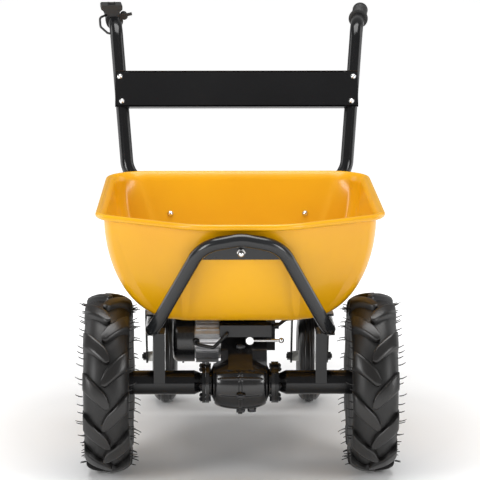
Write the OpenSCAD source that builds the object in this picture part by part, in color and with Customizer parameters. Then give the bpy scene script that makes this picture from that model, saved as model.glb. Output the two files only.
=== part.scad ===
// Power wheelbarrow: two driven front wheels on a transaxle, two rear casters, a steel tray on a
// tube frame. +X is the operator's left, -Y is forwards, +Z is up. The tyres stand on Z = 0.

/* [Wheels] */
// Outer diameter of a drive tyre over its lugs
tyre_od = 416; // [400:1:424]
// Width of a drive tyre
tyre_w = 104; // [96:1:108]
// Distance between the centre planes of the drive tyres
track = 608; // [600:1:660]
// Bead seat diameter of a drive rim
bead_d = 203; // [190:1:206]
// Lugs in each of the two rows of a drive tyre
lug_count = 12; // [8:1:16]
// Height of a lug above the carcass
lug_h = 11; // [6:1:14]
// Diameter of a caster tyre
caster_od = 240; // [200:1:246]
// Width of a caster tyre
caster_w = 62; // [50:1:64]
// Distance of the caster's axle behind its swivel
caster_trail = 55; // [40:1:60]
// Distance between the two swivels
caster_track = 380; // [370:1:400]
// Distance of the swivels behind the front axle
caster_y = 640; // [620:1:700]

/* [Axle and transaxle] */
// Outer diameter of an axle tube
tube_od = 56; // [50:1:58]
// Diameter of a half shaft
shaft_d = 20; // [18:0.5:21]
// Outer diameter of a shaft bearing
bearing_od = 42; // [38:1:43]
// Width of a shaft bearing
bearing_w = 12; // [10:1:14]
// Gear module of the motor stage
fast_m = 2; // [1.8:0.05:2.05]
// Gear module of the final stage
slow_m = 2.5; // [2.3:0.05:2.55]
// Wall of the gear case
case_wall = 5; // [4:0.5:6]
// Radius of the motor over its fins
motor_r = 60; // [56:1:62]
// Length of the motor's finned body
motor_len = 61; // [55:1:75]
// Length of the motor's end bell
bell_len = 51; // [40:1:60]

/* [Frame] */
// Outer diameter of the frame tube
rail_od = 30; // [26:1:32]
// Wall of the frame tube and the handle tube
frame_wall = 2; // [1.5:0.1:3]
// Distance between the centre lines of the two rails
rail_gap = 406; // [396:1:420]
// Height of the rails' centre lines
rail_z = 345; // [335:1:380]
// Height of the hoop's centre line at its top
hoop_top_z = 577; // [540:1:590]
// Forward lean of the hoop in degrees
hoop_lean = 25; // [15:1:28]
// Distance of the risers behind the front axle
riser_y = 715; // [705:1:800]
// Thickness of the flat bars
bar_t = 5; // [4:0.5:8]

/* [Tray] */
// Inside half width of the tray at the rim
tray_half_w = 312; // [290:1:330]
// Height of the rim above the tray's floor, at the front
tray_depth = 231; // [200:1:260]
// Length of the tray's mouth
tray_len = 745; // [650:1:800]
// Half width of the tray's floor
floor_half_w = 156; // [130:1:180]
// Thickness of the tray's sheet
sheet = 2; // [1.5:0.1:4]
// Diameter of the rolled edge
bead_od = 14; // [10:1:18]

/* [Handles] */
// Height of the grips' ends
grip_z = 1010; // [950:1:1100]
// Distance of the grips' ends behind the front axle
grip_y = 1080; // [1000:1:1180]
// Half of the distance between the grips' ends
grip_x = 343; // [330:1:380]
// Length of a grip
grip_len = 118; // [100:1:125]
// Outer diameter of a grip
grip_od = 38; // [37:0.5:42]
// Width of the cross plate, across the handles
plate_w = 640; // [624:1:650]
// Height of the cross plate along its face
plate_h = 100; // [90:1:130]

/* [Power] */
// Width, length and height of one battery
battery_size = [151, 96, 95]; // [80:1:151]
// Wall of the battery box
box_wall = 3; // [2:0.5:5]

/* [Hidden] */
$fn = 64;

fit = 0.05;     // radial running clearance of a shaft in its bearing
socket_fit = 0.2;   // radial clearance of a riser in its handle
gap = 0.3;      // clearance between curved faces that pass each other
lap = 0.5;      // a straight stretch of tube runs this far into its bend
swell = 0.1;    // a bend's wall is this much thicker on both faces

// Places along Y are measured from the front axle. The part's own origin lies under its middle.
// The hoop's plane leans forwards from the front ends of the rails
hoop_foot_y = -100;
function hoop_reach(z) = -hoop_foot_y + (z - rail_z) * tan(hoop_lean);
front_y = -hoop_reach(hoop_top_z) - rail_od / 2;
axle_y = -(front_y + grip_y) / 2;
axle_z = tyre_od / 2;
wheel_x = track / 2;
module from_axle() { translate([0, axle_y, 0]) children(); }
module sided(side) { if (side > 0) children(); else mirror([1, 0, 0]) children(); }

battery_y0 = 204;
battery_y1 = battery_y0 + 2 * battery_size[1] + 6 + 2 * box_wall;
cable_out_y = battery_y1 + 120;
handle_od = rail_od + 2 * frame_wall + 2 * socket_fit;

// Shapes along the X axis
module slab(x0, x1) {
    translate([x0, 0, 0]) rotate([90, 0, 90]) linear_extrude(x1 - x0) children();
}
module about_x() {
    rotate([90, 0, 90]) rotate_extrude() children();
}
module x_rod(x0, x1, d) {
    translate([x0, 0, 0]) rotate([0, 90, 0]) cylinder(h = x1 - x0, d = d);
}
module y_rod(y0, y1, d) {
    translate([0, y0, 0]) rotate([-90, 0, 0]) cylinder(h = y1 - y0, d = d);
}
module z_rod(z0, z1, d) {
    translate([0, 0, z0]) cylinder(h = z1 - z0, d = d);
}
module z_hex(z0, z1, across) {
    translate([0, 0, z0]) cylinder(h = z1 - z0, d = across / cos(30), $fn = 6);
}
module x_hex(x0, x1, across) {
    translate([x0, 0, 0]) rotate([0, 90, 0]) z_hex(0, x1 - x0, across);
}
module x_ring(x0, x1, od, id) {
    difference() {
        x_rod(x0, x1, od);
        x_rod(x0 - 1, x1 + 1, id);
    }
}
module box(x, y, z) {
    translate([x[0], y[0], z[0]]) cube([x[1] - x[0], y[1] - y[0], z[1] - z[0]]);
}

// A bolt whose shank fills z from 0 to the grip, with its hex head below and its nut above
head_h_ratio = 0.65;
nut_h_ratio = 0.8;
across_ratio = 1.7;
module shank_and_nut(d, grip, tail) {
    z_rod(0, grip + nut_h_ratio * d + tail, d);
    z_hex(grip, grip + nut_h_ratio * d, across_ratio * d);
}
module bolt(d, grip, tail = 4) {
    z_hex(-head_h_ratio * d, 0, across_ratio * d);
    shank_and_nut(d, grip, tail);
}
// The same with a domed head
module dome_bolt(d, grip, tail = 3) {
    intersection() {
        translate([0, 0, 0.35 * d]) sphere(r = d);
        z_rod(-d, 0, 2 * d);
    }
    shank_and_nut(d, grip, tail);
}

// A bent tube: straight stretches between the path's points, joined by arcs of one radius
function unit(v) = v / norm(v);
function placed_at(x, y, z, p) = [
    [x[0], y[0], z[0], p[0]], [x[1], y[1], z[1], p[1]], [x[2], y[2], z[2], p[2]], [0, 0, 0, 1]];
function side_of(z) = unit(cross(abs(z[2]) < 0.9 ? [0, 0, 1] : [0, 1, 0], z));
function turn(path, i) = acos(unit(path[i] - path[i - 1]) * unit(path[i + 1] - path[i]));
function bend_at(bend_r, i) = is_list(bend_r) ? bend_r[i] : bend_r;
function trim(path, bend_r, i) =
    i <= 0 || i >= len(path) - 1 ? 0 : bend_at(bend_r, i) * tan(turn(path, i) / 2);
module ring(od, wall) {
    difference() {
        circle(d = od);
        if (wall < od / 2) circle(d = od - 2 * wall);
    }
}
module bent_tube(path, bend_r, od, wall) {
    last = len(path) - 1;
    for (i = [0 : last - 1]) {
        u = unit(path[i + 1] - path[i]);
        s = path[i] + u * trim(path, bend_r, i);
        e = path[i + 1] - u * trim(path, bend_r, i + 1);
        x = side_of(u);
        multmatrix(placed_at(x, cross(u, x), u, s - u * (i > 0 ? lap : 0)))
            linear_extrude(norm(e - s) + (i > 0 ? lap : 0) + (i < last - 1 ? lap : 0)) ring(od, wall);
    }
    for (i = [1 : 1 : last - 1]) {
        u = unit(path[i] - path[i - 1]);
        v = unit(path[i + 1] - path[i]);
        n = unit(v - u * (u * v));
        c = path[i] - u * trim(path, bend_r, i) + n * bend_r;
        multmatrix(placed_at(-n, u, cross(-n, u), c))
            rotate_extrude(angle = turn(path, i)) translate([bend_r, 0])
                ring(od + 2 * swell, wall + 2 * swell);
    }
}

// A swept cord through points chosen by hand, its corners rounded, as one closed solid
cord_sides = 8;
function arc_points(path, bend_r, i, steps) =
    let (u = unit(path[i] - path[i - 1]), v = unit(path[i + 1] - path[i]), n = unit(v - u * (u * v)),
        a = turn(path, i), s = path[i] - u * trim(path, bend_r, i))
    [for (k = [0 : steps]) let (q = a * k / steps) s + bend_at(bend_r, i) * (u * sin(q) + n * (1 - cos(q)))];
function rounded_path(path, bend_r) = concat([path[0]],
    [for (i = [1 : len(path) - 2]) each arc_points(path, bend_r, i, max(1, ceil(turn(path, i) / 25)))],
    [path[len(path) - 1]]);
function heading(p, i) = unit(p[min(i + 1, len(p) - 1)] - p[max(i - 1, 0)]);
function carried(x, t) = unit(x - t * (x * t));
function side_vectors(p, i = 0, x = [0, 0, 0], done = []) = i == len(p) ? done :
    let (t = heading(p, i), s = carried(i == 0 ? side_of(t) : x, t))
    side_vectors(p, i + 1, s, concat(done, [s]));
module cord(path, bend_r, d) {
    p = rounded_path(path, bend_r);
    side = side_vectors(p);
    n = len(p);
    points = [for (i = [0 : n - 1], k = [0 : cord_sides - 1])
        p[i] + d / 2 * (side[i] * cos(360 * k / cord_sides)
            + cross(heading(p, i), side[i]) * sin(360 * k / cord_sides))];
    skin = [for (i = [0 : n - 2], k = [0 : cord_sides - 1])
        let (a = i * cord_sides + k, b = i * cord_sides + (k + 1) % cord_sides)
        each [[a, b + cord_sides, b], [a, a + cord_sides, b + cord_sides]]];
    ends = [[for (k = [0 : cord_sides - 1]) k],
        [for (k = [cord_sides - 1 : -1 : 0]) (n - 1) * cord_sides + k]];
    polyhedron(points, concat(skin, ends));
}

// ---- Drive wheels: built for the left side, X = 0 in the wheel's centre plane, +X outwards ----
module at_wheel(side) { from_axle() sided(side) translate([wheel_x, 0, axle_z]) children(); }
carcass_r = tyre_od / 2 - lug_h;
shoulder_r = 38;
shoulder_x = tyre_w / 2 - shoulder_r;
casing = 8;
bead_half_w = 36;
lug_w = 27;
lug_slant = 45;
lug_from_x = -5;
module tyre_section(inset) {
    r = shoulder_r - inset;
    for (s = [-1, 1]) translate([carcass_r - shoulder_r, s * shoulder_x]) circle(r = r);
    translate([carcass_r - shoulder_r - r, -shoulder_x]) square([2 * r, 2 * shoulder_x]);
}
module tyre_carcass() {
    about_x() difference() {
        union() {
            tyre_section(0);
            translate([bead_d / 2, -bead_half_w]) square([30, 2 * bead_half_w]);
        }
        tyre_section(casing);
        translate([bead_d / 2 - 1, casing - bead_half_w]) square([32, 2 * (bead_half_w - casing)]);
    }
}
function shoulder_point(side, angle, inset) = [
    carcass_r - shoulder_r + (shoulder_r - inset) * sin(angle),
    side * (shoulder_x + (shoulder_r - inset) * cos(angle))];
// The lugs' arched crown, as [drop below the tyre's top, distance in from its edge]
crown = [[tyre_od / 2 - carcass_r + 32, -1], [19, 0], [15, 4], [5, 22]];
module lug_zone() {
    root = casing / 2;
    side = [for (c = crown) [tyre_od / 2 - c[0], tyre_w / 2 - c[1]]];
    about_x() polygon(concat([for (a = [0, 45, 90]) shoulder_point(-1, a, root)],
        [for (a = [90, 45, 0]) shoulder_point(1, a, root)], side, [[tyre_od / 2, 0]],
        [for (i = [len(side) - 1 : -1 : 0]) [side[i][0], -side[i][1]]]));
}
module lug() {
    length = (tyre_w / 2 + 10 - lug_from_x) / cos(lug_slant);
    translate([lug_from_x, 0, carcass_r - 40]) rotate([0, 0, lug_slant])
        translate([0, -lug_w / 2, 0]) cube([length, lug_w, lug_h + 50]);
}
module tyre(side) {
    pitch = 360 / lug_count;
    color("#2b2725") at_wheel(side) union() {
        tyre_carcass();
        intersection() {
            lug_zone();
            for (i = [0 : lug_count - 1]) rotate([i * pitch, 0, 0]) lug();
        }
        intersection() {
            lug_zone();
            for (i = [0 : lug_count - 1]) rotate([(i + 0.5) * pitch, 0, 0]) mirror([1, 0, 0]) lug();
        }
    }
}
module tyre_left() { tyre(1); }
module tyre_right() { tyre(-1); }

// Two pressed halves of sheet back to back. Points are [radius, x] of the outer half.
rim_sheet = 2.5;
disc_r = 88;
stud_circle_r = 38;
stud_d = 8;
stud_angles = [45 : 90 : 315];
hub_boss_d = 36;
module rim_half() {
    seat = bead_d / 2 - 0.2;
    polygon([[hub_boss_d / 2 + 1, 0], [disc_r, 0], [disc_r, 12], [seat, 18], [seat, bead_half_w + 0.2],
        [seat + 11, bead_half_w + 1], [seat + 11, bead_half_w + 4], [seat - 1, bead_half_w + 2],
        [seat - rim_sheet, bead_half_w], [seat - rim_sheet, 20], [disc_r - rim_sheet, 14],
        [disc_r - rim_sheet, rim_sheet], [hub_boss_d / 2 + 1, rim_sheet]]);
}
module rim(side) {
    color("#1b1b1b") at_wheel(side) difference() {
        about_x() union() {
            rim_half();
            mirror([0, 1]) rim_half();
        }
        for (a = stud_angles) rotate([a, 0, 0]) translate([0, 0, stud_circle_r])
            x_rod(-20, 20, stud_d + 0.4);
    }
}
module rim_left() { rim(1); }
module rim_right() { rim(-1); }

hub_flange_t = 8;
hub_in = -40;
hub_out = 9;
module hub(side) {
    color("#9a9a98") at_wheel(side) difference() {
        union() {
            x_rod(-rim_sheet - hub_flange_t, -rim_sheet, 2 * stud_circle_r + 24);
            x_rod(hub_in, hub_out, hub_boss_d);
        }
        x_rod(hub_in - 1, hub_out + 1, shaft_d + 2 * fit);
        for (a = stud_angles) rotate([a, 0, 0]) translate([0, 0, stud_circle_r])
            x_rod(-20, 20, stud_d);
    }
}
module hub_left() { hub(1); }
module hub_right() { hub(-1); }

// The axle nut and its washer, and four wheel bolts with their nuts
axle_nut_h = 15;
module wheel_nuts(side) {
    color("#b9b7b0") at_wheel(side) {
        difference() {
            union() {
                x_rod(hub_out, hub_out + 3, shaft_d + 18);
                x_hex(hub_out + 3, hub_out + 3 + axle_nut_h, 30);
            }
            x_rod(hub_out - 1, hub_out + 5 + axle_nut_h, shaft_d + 2 * fit);
        }
        for (a = stud_angles) rotate([a, 0, 0]) translate([-rim_sheet - hub_flange_t, 0, stud_circle_r])
            rotate([0, 90, 0]) bolt(stud_d, hub_flange_t + 2 * rim_sheet);
    }
}
module wheel_nuts_left() { wheel_nuts(1); }
module wheel_nuts_right() { wheel_nuts(-1); }

// ---- Differential, half shafts and axle tubes: X = 0 in the middle of the axle ----
module at_axle(side) { from_axle() sided(side) translate([0, 0, axle_z]) children(); }
cage_in = 10;
cage_out = 45;
cage_wall = 5;
cage_r = 34;
cross_x = (cage_in + cage_out - cage_wall) / 2;
case_right_x = -45;
case_left_x = 62;
flange_x = 80;
flange_r = 48;
flange_t = 8;
neck_r = 31;
tube_end_x = wheel_x + hub_in - 2;
seat_x = [flange_x - flange_t - 6, tube_end_x - bearing_w - 2];
side_gear_h = 8;
module bevel(r_small, r_big, h, teeth) {
    difference() {
        cylinder(h = h, r1 = r_big, r2 = r_small);
        for (i = [0 : teeth - 1]) rotate([0, 0, i * 360 / teeth]) translate([r_big, 0, 0])
            rotate([0, -atan((r_big - r_small) / h), 0]) rotate([0, 0, 45])
                translate([-1.4, -1.4, -1]) cube([2.8, 2.8, 2 * h]);
    }
}
module half_shaft(side) {
    inner_x = side > 0 ? cross_x + 7 : -(cross_x - 7);
    face_x = side > 0 ? cage_out - cage_wall - 1 - side_gear_h : -(cage_in + 1 + side_gear_h);
    color("#8d8f8f") at_axle(side) difference() {
        union() {
            x_rod(inner_x, wheel_x + hub_out + 3 + axle_nut_h + 6, shaft_d);
            translate([face_x, 0, 0]) rotate([0, 90, 0])
                translate([0, 0, side_gear_h]) mirror([0, 0, 1]) bevel(12, 20, side_gear_h, 14);
        }
        translate([wheel_x + hub_out + axle_nut_h, 0, 0]) z_rod(-shaft_d, shaft_d, 4);
    }
}
module half_shaft_left() { half_shaft(1); }
module half_shaft_right() { half_shaft(-1); }

flange_bolt_r = 40.5;
flange_bolt_angles = [30 : 60 : 330];
module flange_holes(x0, x1) {
    for (a = flange_bolt_angles) rotate([a, 0, 0]) translate([0, 0, flange_bolt_r]) x_rod(x0, x1, 6.4);
}
module axle_tube(side) {
    r = tube_od / 2;
    x0 = flange_x + 0.5;
    seat_r = bearing_od / 2;
    stop_x = seat_x[1];
    color("#1d1d1d") at_axle(side) difference() {
        about_x() difference() {
            union() {
                translate([0, x0]) square([flange_r, flange_t]);
                translate([0, x0]) square([r - 6, 22]);
                polygon([[0, x0 + 12], [r - 6, x0 + 12], [r, x0 + 26], [r, tube_end_x], [0, tube_end_x]]);
            }
            translate([0, x0 - 1]) square([shaft_d / 2 + 4, 400]);
            translate([0, x0 + 30]) square([r - 6, stop_x - x0 - 30]);
            translate([0, stop_x]) square([seat_r, 400]);
        }
        flange_holes(x0 - 1, x0 + flange_t + 1);
    }
}
module axle_tube_left() { axle_tube(1); }
module axle_tube_right() { axle_tube(-1); }

module bearing() {
    h = bearing_w;
    r = shaft_d / 2 + fit;
    R = bearing_od / 2;
    about_x() polygon([[r, 0], [r + 3, 0], [r + 3.5, 1.5], [R - 3.5, 1.5], [R - 3, 0], [R, 0],
        [R, h], [R - 3, h], [R - 3.5, h - 1.5], [r + 3.5, h - 1.5], [r + 3, h], [r, h]]);
}
module wheel_bearings() {
    color("#a9abab") for (side = [-1, 1], x = seat_x) at_axle(side) translate([x, 0, 0]) bearing();
}

// ---- Gear case ----
// Three parallel shafts: the axle, the reduction shaft and the motor, as [y, z]
fast_teeth = [12, 48];
slow_teeth = [14, 36];
axle_c = [0, 0];
mesh_angle = 48;
mesh_dir = [cos(mesh_angle), sin(mesh_angle)];
idler_c = slow_m * (slow_teeth[0] + slow_teeth[1]) / 2 * mesh_dir;
motor_c = idler_c + fast_m * (fast_teeth[0] + fast_teeth[1]) / 2 * mesh_dir;
axle_case_r = 60;
idler_case_r = 57;
motor_case_r = 56;
// The straight-sided space between two circles, a hair inside their common tangents
module bridge(a, ra, b, rb) {
    t = acos((ra - rb) / norm(b - a));
    dir = atan2(b[1] - a[1], b[0] - a[0]);
    polygon([for (e = [[a, ra, 1], [b, rb, 1], [b, rb, -1], [a, ra, -1]])
        e[0] + (e[1] - swell) * [cos(dir + e[2] * t), sin(dir + e[2] * t)]]);
}
module gear_tower(inset) {
    translate(idler_c) circle(r = idler_case_r - inset);
    translate(motor_c) circle(r = motor_case_r - inset);
    bridge(idler_c, idler_case_r - inset, motor_c, motor_case_r - inset);
}
// Half of the case, from the seam to an end wall: a bulb round the differential and the tower
// of the gear train behind and above it. The inset gives the cavity.
bulb_x = 28;
bulb_end_x = 62;
bulb_end_r = 44;
module case_half(end_x, inset = 0) {
    seam = inset > 0 ? -1 : 0;
    r = axle_case_r - inset;
    slab(seam, end_x - inset) gear_tower(inset);
    slab(seam, bulb_x - inset) bridge(axle_c, r, idler_c, idler_case_r - inset);
    about_x() polygon([[0, seam], [r, seam], [r, bulb_x - inset / 2],
        [bulb_end_r - inset, bulb_end_x - inset - 3], [bulb_end_r - inset, bulb_end_x - inset],
        [0, bulb_end_x - inset]]);
}
ear_out = 7;
ears = [for (e = [[axle_c, axle_case_r, -90], [axle_c, axle_case_r, 195], [axle_c, axle_case_r, -28],
    [idler_c, idler_case_r, 141], [motor_c, motor_case_r, 125], [motor_c, motor_case_r, 55],
    [motor_c, motor_case_r, -35]]) e[0] + (e[1] + ear_out) * [cos(e[2]), sin(e[2])]];
ear_r = 9;
ear_t = 5;
shaft2_d = 16;
rotor_d = 12;
web_x = [-17, -9];
carrier_r = 15;
carrier_out_r = 17;
idler_boss_r = shaft2_d / 2 + 7;
shaft_clear_d = shaft_d + 8;
drain_x = 27;
drain_z = -axle_case_r - 4;
module ear_slab(x0, x1) {
    slab(x0, x1) for (p = ears) translate(p) circle(r = ear_r);
}
module ear_bores() {
    for (p = ears) translate([0, p[0], p[1]]) x_rod(-ear_t - 1, ear_t + 1, 6.4);
}
module shaft_bore(c, x0, x1, d) { translate([0, c[0], c[1]]) x_rod(x0, x1, d); }
module neck() {
    r = bulb_end_r - 2;
    about_x() difference() {
        union() {
            polygon([[0, bulb_end_x - 2], [r, bulb_end_x - 2], [r, bulb_end_x],
                [neck_r, bulb_end_x + 5], [neck_r, flange_x], [0, flange_x]]);
            translate([0, flange_x - flange_t]) square([flange_r, flange_t]);
        }
        translate([0, bulb_end_x - 3]) square([shaft_clear_d / 2, 100]);
        translate([0, seat_x[0]]) square([bearing_od / 2, 100]);
    }
}
module gearcase_left() {
    color("#161616") at_axle(1) difference() {
        union() {
            difference() {
                union() {
                    case_half(case_left_x);
                    ear_slab(0, ear_t);
                }
                case_half(case_left_x, case_wall);
            }
            slab(cage_out + 3, case_left_x) translate(idler_c) circle(r = idler_boss_r);
            neck();
            lever_boss();
            translate([drain_x, 0, 0]) z_rod(drain_z, 12 - axle_case_r, 22);
        }
        shaft_bore(axle_c, bulb_end_x - case_wall - 1, bulb_end_x + 2, 2 * (carrier_out_r + fit));
        shaft_bore(idler_c, cage_out, case_left_x - case_wall, shaft2_d + 2 * fit);
        ear_bores();
        flange_holes(flange_x - flange_t - 1, flange_x + 1);
        lever_bore();
    }
}
module gearcase_right() {
    color("#161616") at_axle(1) difference() {
        union() {
            difference() {
                union() {
                    mirror([1, 0, 0]) case_half(-case_right_x);
                    ear_slab(-ear_t, 0);
                }
                mirror([1, 0, 0]) case_half(-case_right_x, case_wall);
            }
            slab(web_x[0], web_x[1]) difference() {
                circle(r = axle_case_r - 1);
                translate(idler_c) circle(r = 24);
            }
            slab(case_right_x, fast_x[0] - 2) translate(idler_c) circle(r = idler_boss_r);
            mirror([1, 0, 0]) neck();
        }
        shaft_bore(axle_c, web_x[0] - 1, web_x[1] + 1, 2 * (carrier_r + fit));
        shaft_bore(axle_c, -bulb_end_x - 1, case_wall + 1 - bulb_end_x, shaft_clear_d);
        shaft_bore(idler_c, case_right_x + case_wall, fast_x[0], shaft2_d + 2 * fit);
        shaft_bore(motor_c, case_right_x - 1, case_right_x + case_wall + 1, rotor_d + 2 * fit);
        ear_bores();
        mirror([1, 0, 0]) flange_holes(flange_x - flange_t - 1, flange_x + 1);
        translate([0, motor_c[0], motor_c[1]])
            motor_screws(case_right_x - 1, case_right_x + case_wall + 1, screw_hole_d);
    }
}
screw_hole_d = 5.2;
module motor_screws(x0, x1, d) {
    for (a = [20 : 120 : 260]) rotate([a, 0, 0]) translate([0, 0, motor_bore_r - 12]) x_rod(x0, x1, d);
}
// Seam bolts, the bolts of both axle flanges and the drain plug
module gearcase_bolts() {
    color("#3a3a3a") at_axle(1) {
        for (p = ears) translate([-ear_t, p[0], p[1]]) rotate([0, 90, 0]) bolt(6, 2 * ear_t, 2);
        for (side = [-1, 1]) sided(side) for (a = flange_bolt_angles)
            rotate([a, 0, 0]) translate([flange_x - flange_t, 0, flange_bolt_r])
                rotate([0, 90, 0]) bolt(6, 2 * flange_t + 0.5, 2);
        translate([drain_x, 0, 0]) z_hex(drain_z - 6, drain_z, 17);
    }
}

// Involute spur gears
function involute(rb, t) = rb * [cos(t) + t * PI / 180 * sin(t), sin(t) - t * PI / 180 * cos(t)];
function spin2(p, a) = [p[0] * cos(a) - p[1] * sin(a), p[0] * sin(a) + p[1] * cos(a)];
function roll(rb, r) = r <= rb ? 0 : sqrt(r * r / (rb * rb) - 1) * 180 / PI;
pressure = 20;
slack = 0.12;   // share of the module that each tooth is thinner by, for backlash
module gear(m, teeth, tip) {
    rp = m * teeth / 2;
    rb = rp * cos(pressure);
    root = rp - 1.25 * m;
    steps = 3;
    at_pitch = involute(rb, roll(rb, rp));
    half = 90 / teeth - slack * m / rp * 90 / PI;
    shift = -atan2(at_pitch[1], at_pitch[0]) - half;
    flank = [for (k = [0 : steps]) let (r = rb + (rp + tip * m - rb) * k / steps)
        spin2(involute(rb, roll(rb, r)), shift)];
    foot = min(root, rb - 0.01) * [cos(shift), sin(shift)];
    low = concat([foot], flank);
    mirrored = [for (k = [len(low) - 1 : -1 : 0]) [low[k][0], -low[k][1]]];
    polygon([for (i = [0 : teeth - 1]) each [for (p = concat(low, mirrored)) spin2(p, i * 360 / teeth)]]);
}
fast_x = [-30, -18];
slow_x = [-8, 10];
module reduction_gear() {
    color("#8a8c8e") at_axle(1) translate([0, idler_c[0], idler_c[1]]) {
        slab(fast_x[0], fast_x[1]) rotate(mesh_angle + 180 / fast_teeth[1])
            gear(fast_m, fast_teeth[1], 0.75);
        slab(slow_x[0] - 1, slow_x[1] + 1) rotate(mesh_angle + 180) gear(slow_m, slow_teeth[0], 1);
        x_rod(case_right_x + case_wall + 1, case_left_x - case_wall - 1, shaft2_d);
        x_rod(fast_x[1], slow_x[0], shaft2_d + 8);
    }
}
module diff_carrier() {
    color("#77797b") at_axle(1) difference() {
        union() {
            slab(slow_x[0], slow_x[1]) rotate(mesh_angle + 180 / slow_teeth[1])
                gear(slow_m, slow_teeth[1], 0.75);
            x_rod(web_x[0], slow_x[0], 2 * carrier_r);
            x_rod(slow_x[1], cage_out, 2 * cage_r);
            x_rod(cage_out, case_left_x + 1, 2 * carrier_out_r);
        }
        x_rod(-100, 100, shaft_d + 2 * gap);
        x_rod(cage_in, cage_out - cage_wall, 2 * (cage_r - cage_wall - 1));
        for (a = [45, 135]) rotate([a, 0, 0])
            box([cage_in + 2, cage_out - cage_wall - 2], [-9, 9], [-50, 50]);
        translate([cross_x, 0, 0]) z_rod(-cage_r, cage_r, 10);
    }
}
module diff_pinions() {
    color("#a0a2a4") at_axle(1) translate([cross_x, 0, 0]) {
        difference() {
            z_rod(-cage_r + 1, cage_r - 1, 10);
            y_rod(-9, 9, 3);
        }
        for (s = [0, 1]) mirror([0, 0, s]) translate([0, 0, 22]) mirror([0, 0, 1]) difference() {
            bevel(7, 11, 9, 10);
            translate([0, 0, -1]) cylinder(h = 12, d = 10.02);
        }
    }
}

// Release lever on the front of the case: down releases the drive
lever_x = 22;
jbox_z = [rail_z + rail_od / 2 - 40 - axle_z, rail_z + rail_od / 2 - 13 - axle_z];
lever_dz = jbox_z[0] - 10;
lever_y = -16;
lever_len = 73;
module at_lever() { translate([lever_x, 0, lever_dz]) children(); }
lever_pin_d = 6;
module lever_boss() { at_lever() y_rod(lever_y + 7, 34, 20); }
module lever_bore() { at_lever() y_rod(lever_y - 10, 22, lever_pin_d + 2 * fit); }
module release_lever() {
    color("#b5b3ac") at_axle(1) at_lever() {
        y_rod(lever_y - 5, lever_y + 6.7, 18);
        y_rod(lever_y - 5, 20, lever_pin_d);
        translate([0, lever_y, 0]) x_rod(0, lever_len, 7);
        translate([lever_len, lever_y, 0]) sphere(d = 13);
    }
}

// ---- Motor, on the right of the case ----
motor_bore_r = motor_r - 14;
motor_out = case_right_x - motor_len;
bell_out = motor_out - bell_len;
fins = 30;
fin_t = 2.2;
module at_motor() { at_axle(1) translate([0, motor_c[0], motor_c[1]]) children(); }
module motor_body() {
    color("#9fa1a3") at_motor() difference() {
        union() {
            x_rod(motor_out, case_right_x, 2 * (motor_r - 9));
            for (i = [0 : fins - 1]) rotate([i * 360 / fins, 0, 0])
                box([motor_out + 3, case_right_x - 5], [-fin_t / 2, fin_t / 2], [motor_r - 12, motor_r]);
        }
        x_rod(motor_out - 1, case_right_x - 6, 2 * motor_bore_r);
        x_rod(case_right_x - 7, case_right_x + 1, rotor_d + 2 * fit + 12);
        motor_screws(case_right_x - 7, case_right_x + 1, screw_hole_d);
    }
}
module motor_magnets() {
    color("#3b3b3d") at_motor() slab(motor_out + 6, case_right_x - 12) difference() {
        circle(r = motor_bore_r - fit);
        circle(r = motor_bore_r - 6);
        for (a = [0, 90]) rotate(a) square([200, 14], center = true);
    }
}
module motor_rotor() {
    color("#b3703a") at_motor() {
        x_rod(bell_out + 10, fast_x[1], rotor_d);
        slab(motor_out + 8, case_right_x - 14) difference() {
            circle(r = motor_bore_r - 8);
            for (i = [0 : 11]) rotate(i * 30) translate([motor_bore_r - 15, -1.5]) square([10, 3]);
        }
        x_rod(motor_out - 20, motor_out + 4, 34);
        slab(fast_x[0] - 1, fast_x[1] + 1) rotate(mesh_angle + 180) gear(fast_m, fast_teeth[0], 1);
    }
}
bell_round = 14;
module motor_end_bell() {
    r = motor_r - 2;
    color("#131313") at_motor() difference() {
        about_x() difference() {
            polygon(concat([[0, motor_out], [r, motor_out], [r, bell_out + bell_round]],
                [for (a = [15 : 15 : 90])
                    [r - bell_round * (1 - cos(a)), bell_out + bell_round * (1 - sin(a))]],
                [[0, bell_out]]));
            translate([0, bell_out + 5]) square([r - 6, bell_len]);
        }
        x_rod(bell_out + 1, bell_out + 6, 24);
    }
    color("#131313") at_motor() x_ring(bell_out + 5, bell_out + 18, 30, rotor_d + 2 * fit);
}

// Terminal box in front of the case's top, with the motor's cable and the loom to the controller
jbox_x = [-48, 72];
jbox_y = [-25, 19];
module junction_box() {
    color("#101010") at_axle(1) difference() {
        union() {
            box(jbox_x, jbox_y, jbox_z);
            box([-20, 44], [jbox_y[1] - 1, motor_c[0] - 25], [jbox_z[0], jbox_z[0] + 4]);
        }
        box(jbox_x + [2.5, -2.5], jbox_y + [2.5, -2.5], jbox_z + [2.5, -2.5]);
        slab(-100, 100) gear_tower(-swell);
    }
}
box_port = [jbox_x[1], 6, jbox_z[1] - 7];
cable_d = 8;
module motor_cable() {
    boot = [motor_out + 4, motor_c[0] - motor_r - 16, motor_c[1] + 2];
    stop = [jbox_x[0] + 18, jbox_y[0], jbox_z[0] + 9];
    color("#0c0c0c") at_axle(1) {
        translate(boot) y_rod(0, 16 - fit, 16);
        cord([boot + [0, 1, 0], boot + [4, -16, -2], boot + [40, -20, -8], stop + [0, -14, 0], stop],
            [0, 12, 40, 7, 0], cable_d);
    }
}
module power_loom() {
    run_x = rail_gap / 2 - rail_od / 2 - 8;
    run_z = rail_z - axle_z + 9;
    end = [ctrl_x, ctrl_y[0] + 40, ctrl_z[0] + 12 - axle_z];
    color("#0c0c0c") at_axle(1)
        cord([box_port, box_port + [14, 0, 0], box_port + [34, 12, 13], [run_x - 30, 36, run_z],
            [run_x, 66, run_z], [run_x, end[1] - 40, run_z], [run_x - 12, end[1], end[2] + 12],
            [run_x - 50, end[1], end[2]], end], 14, cable_d);
}

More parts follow.
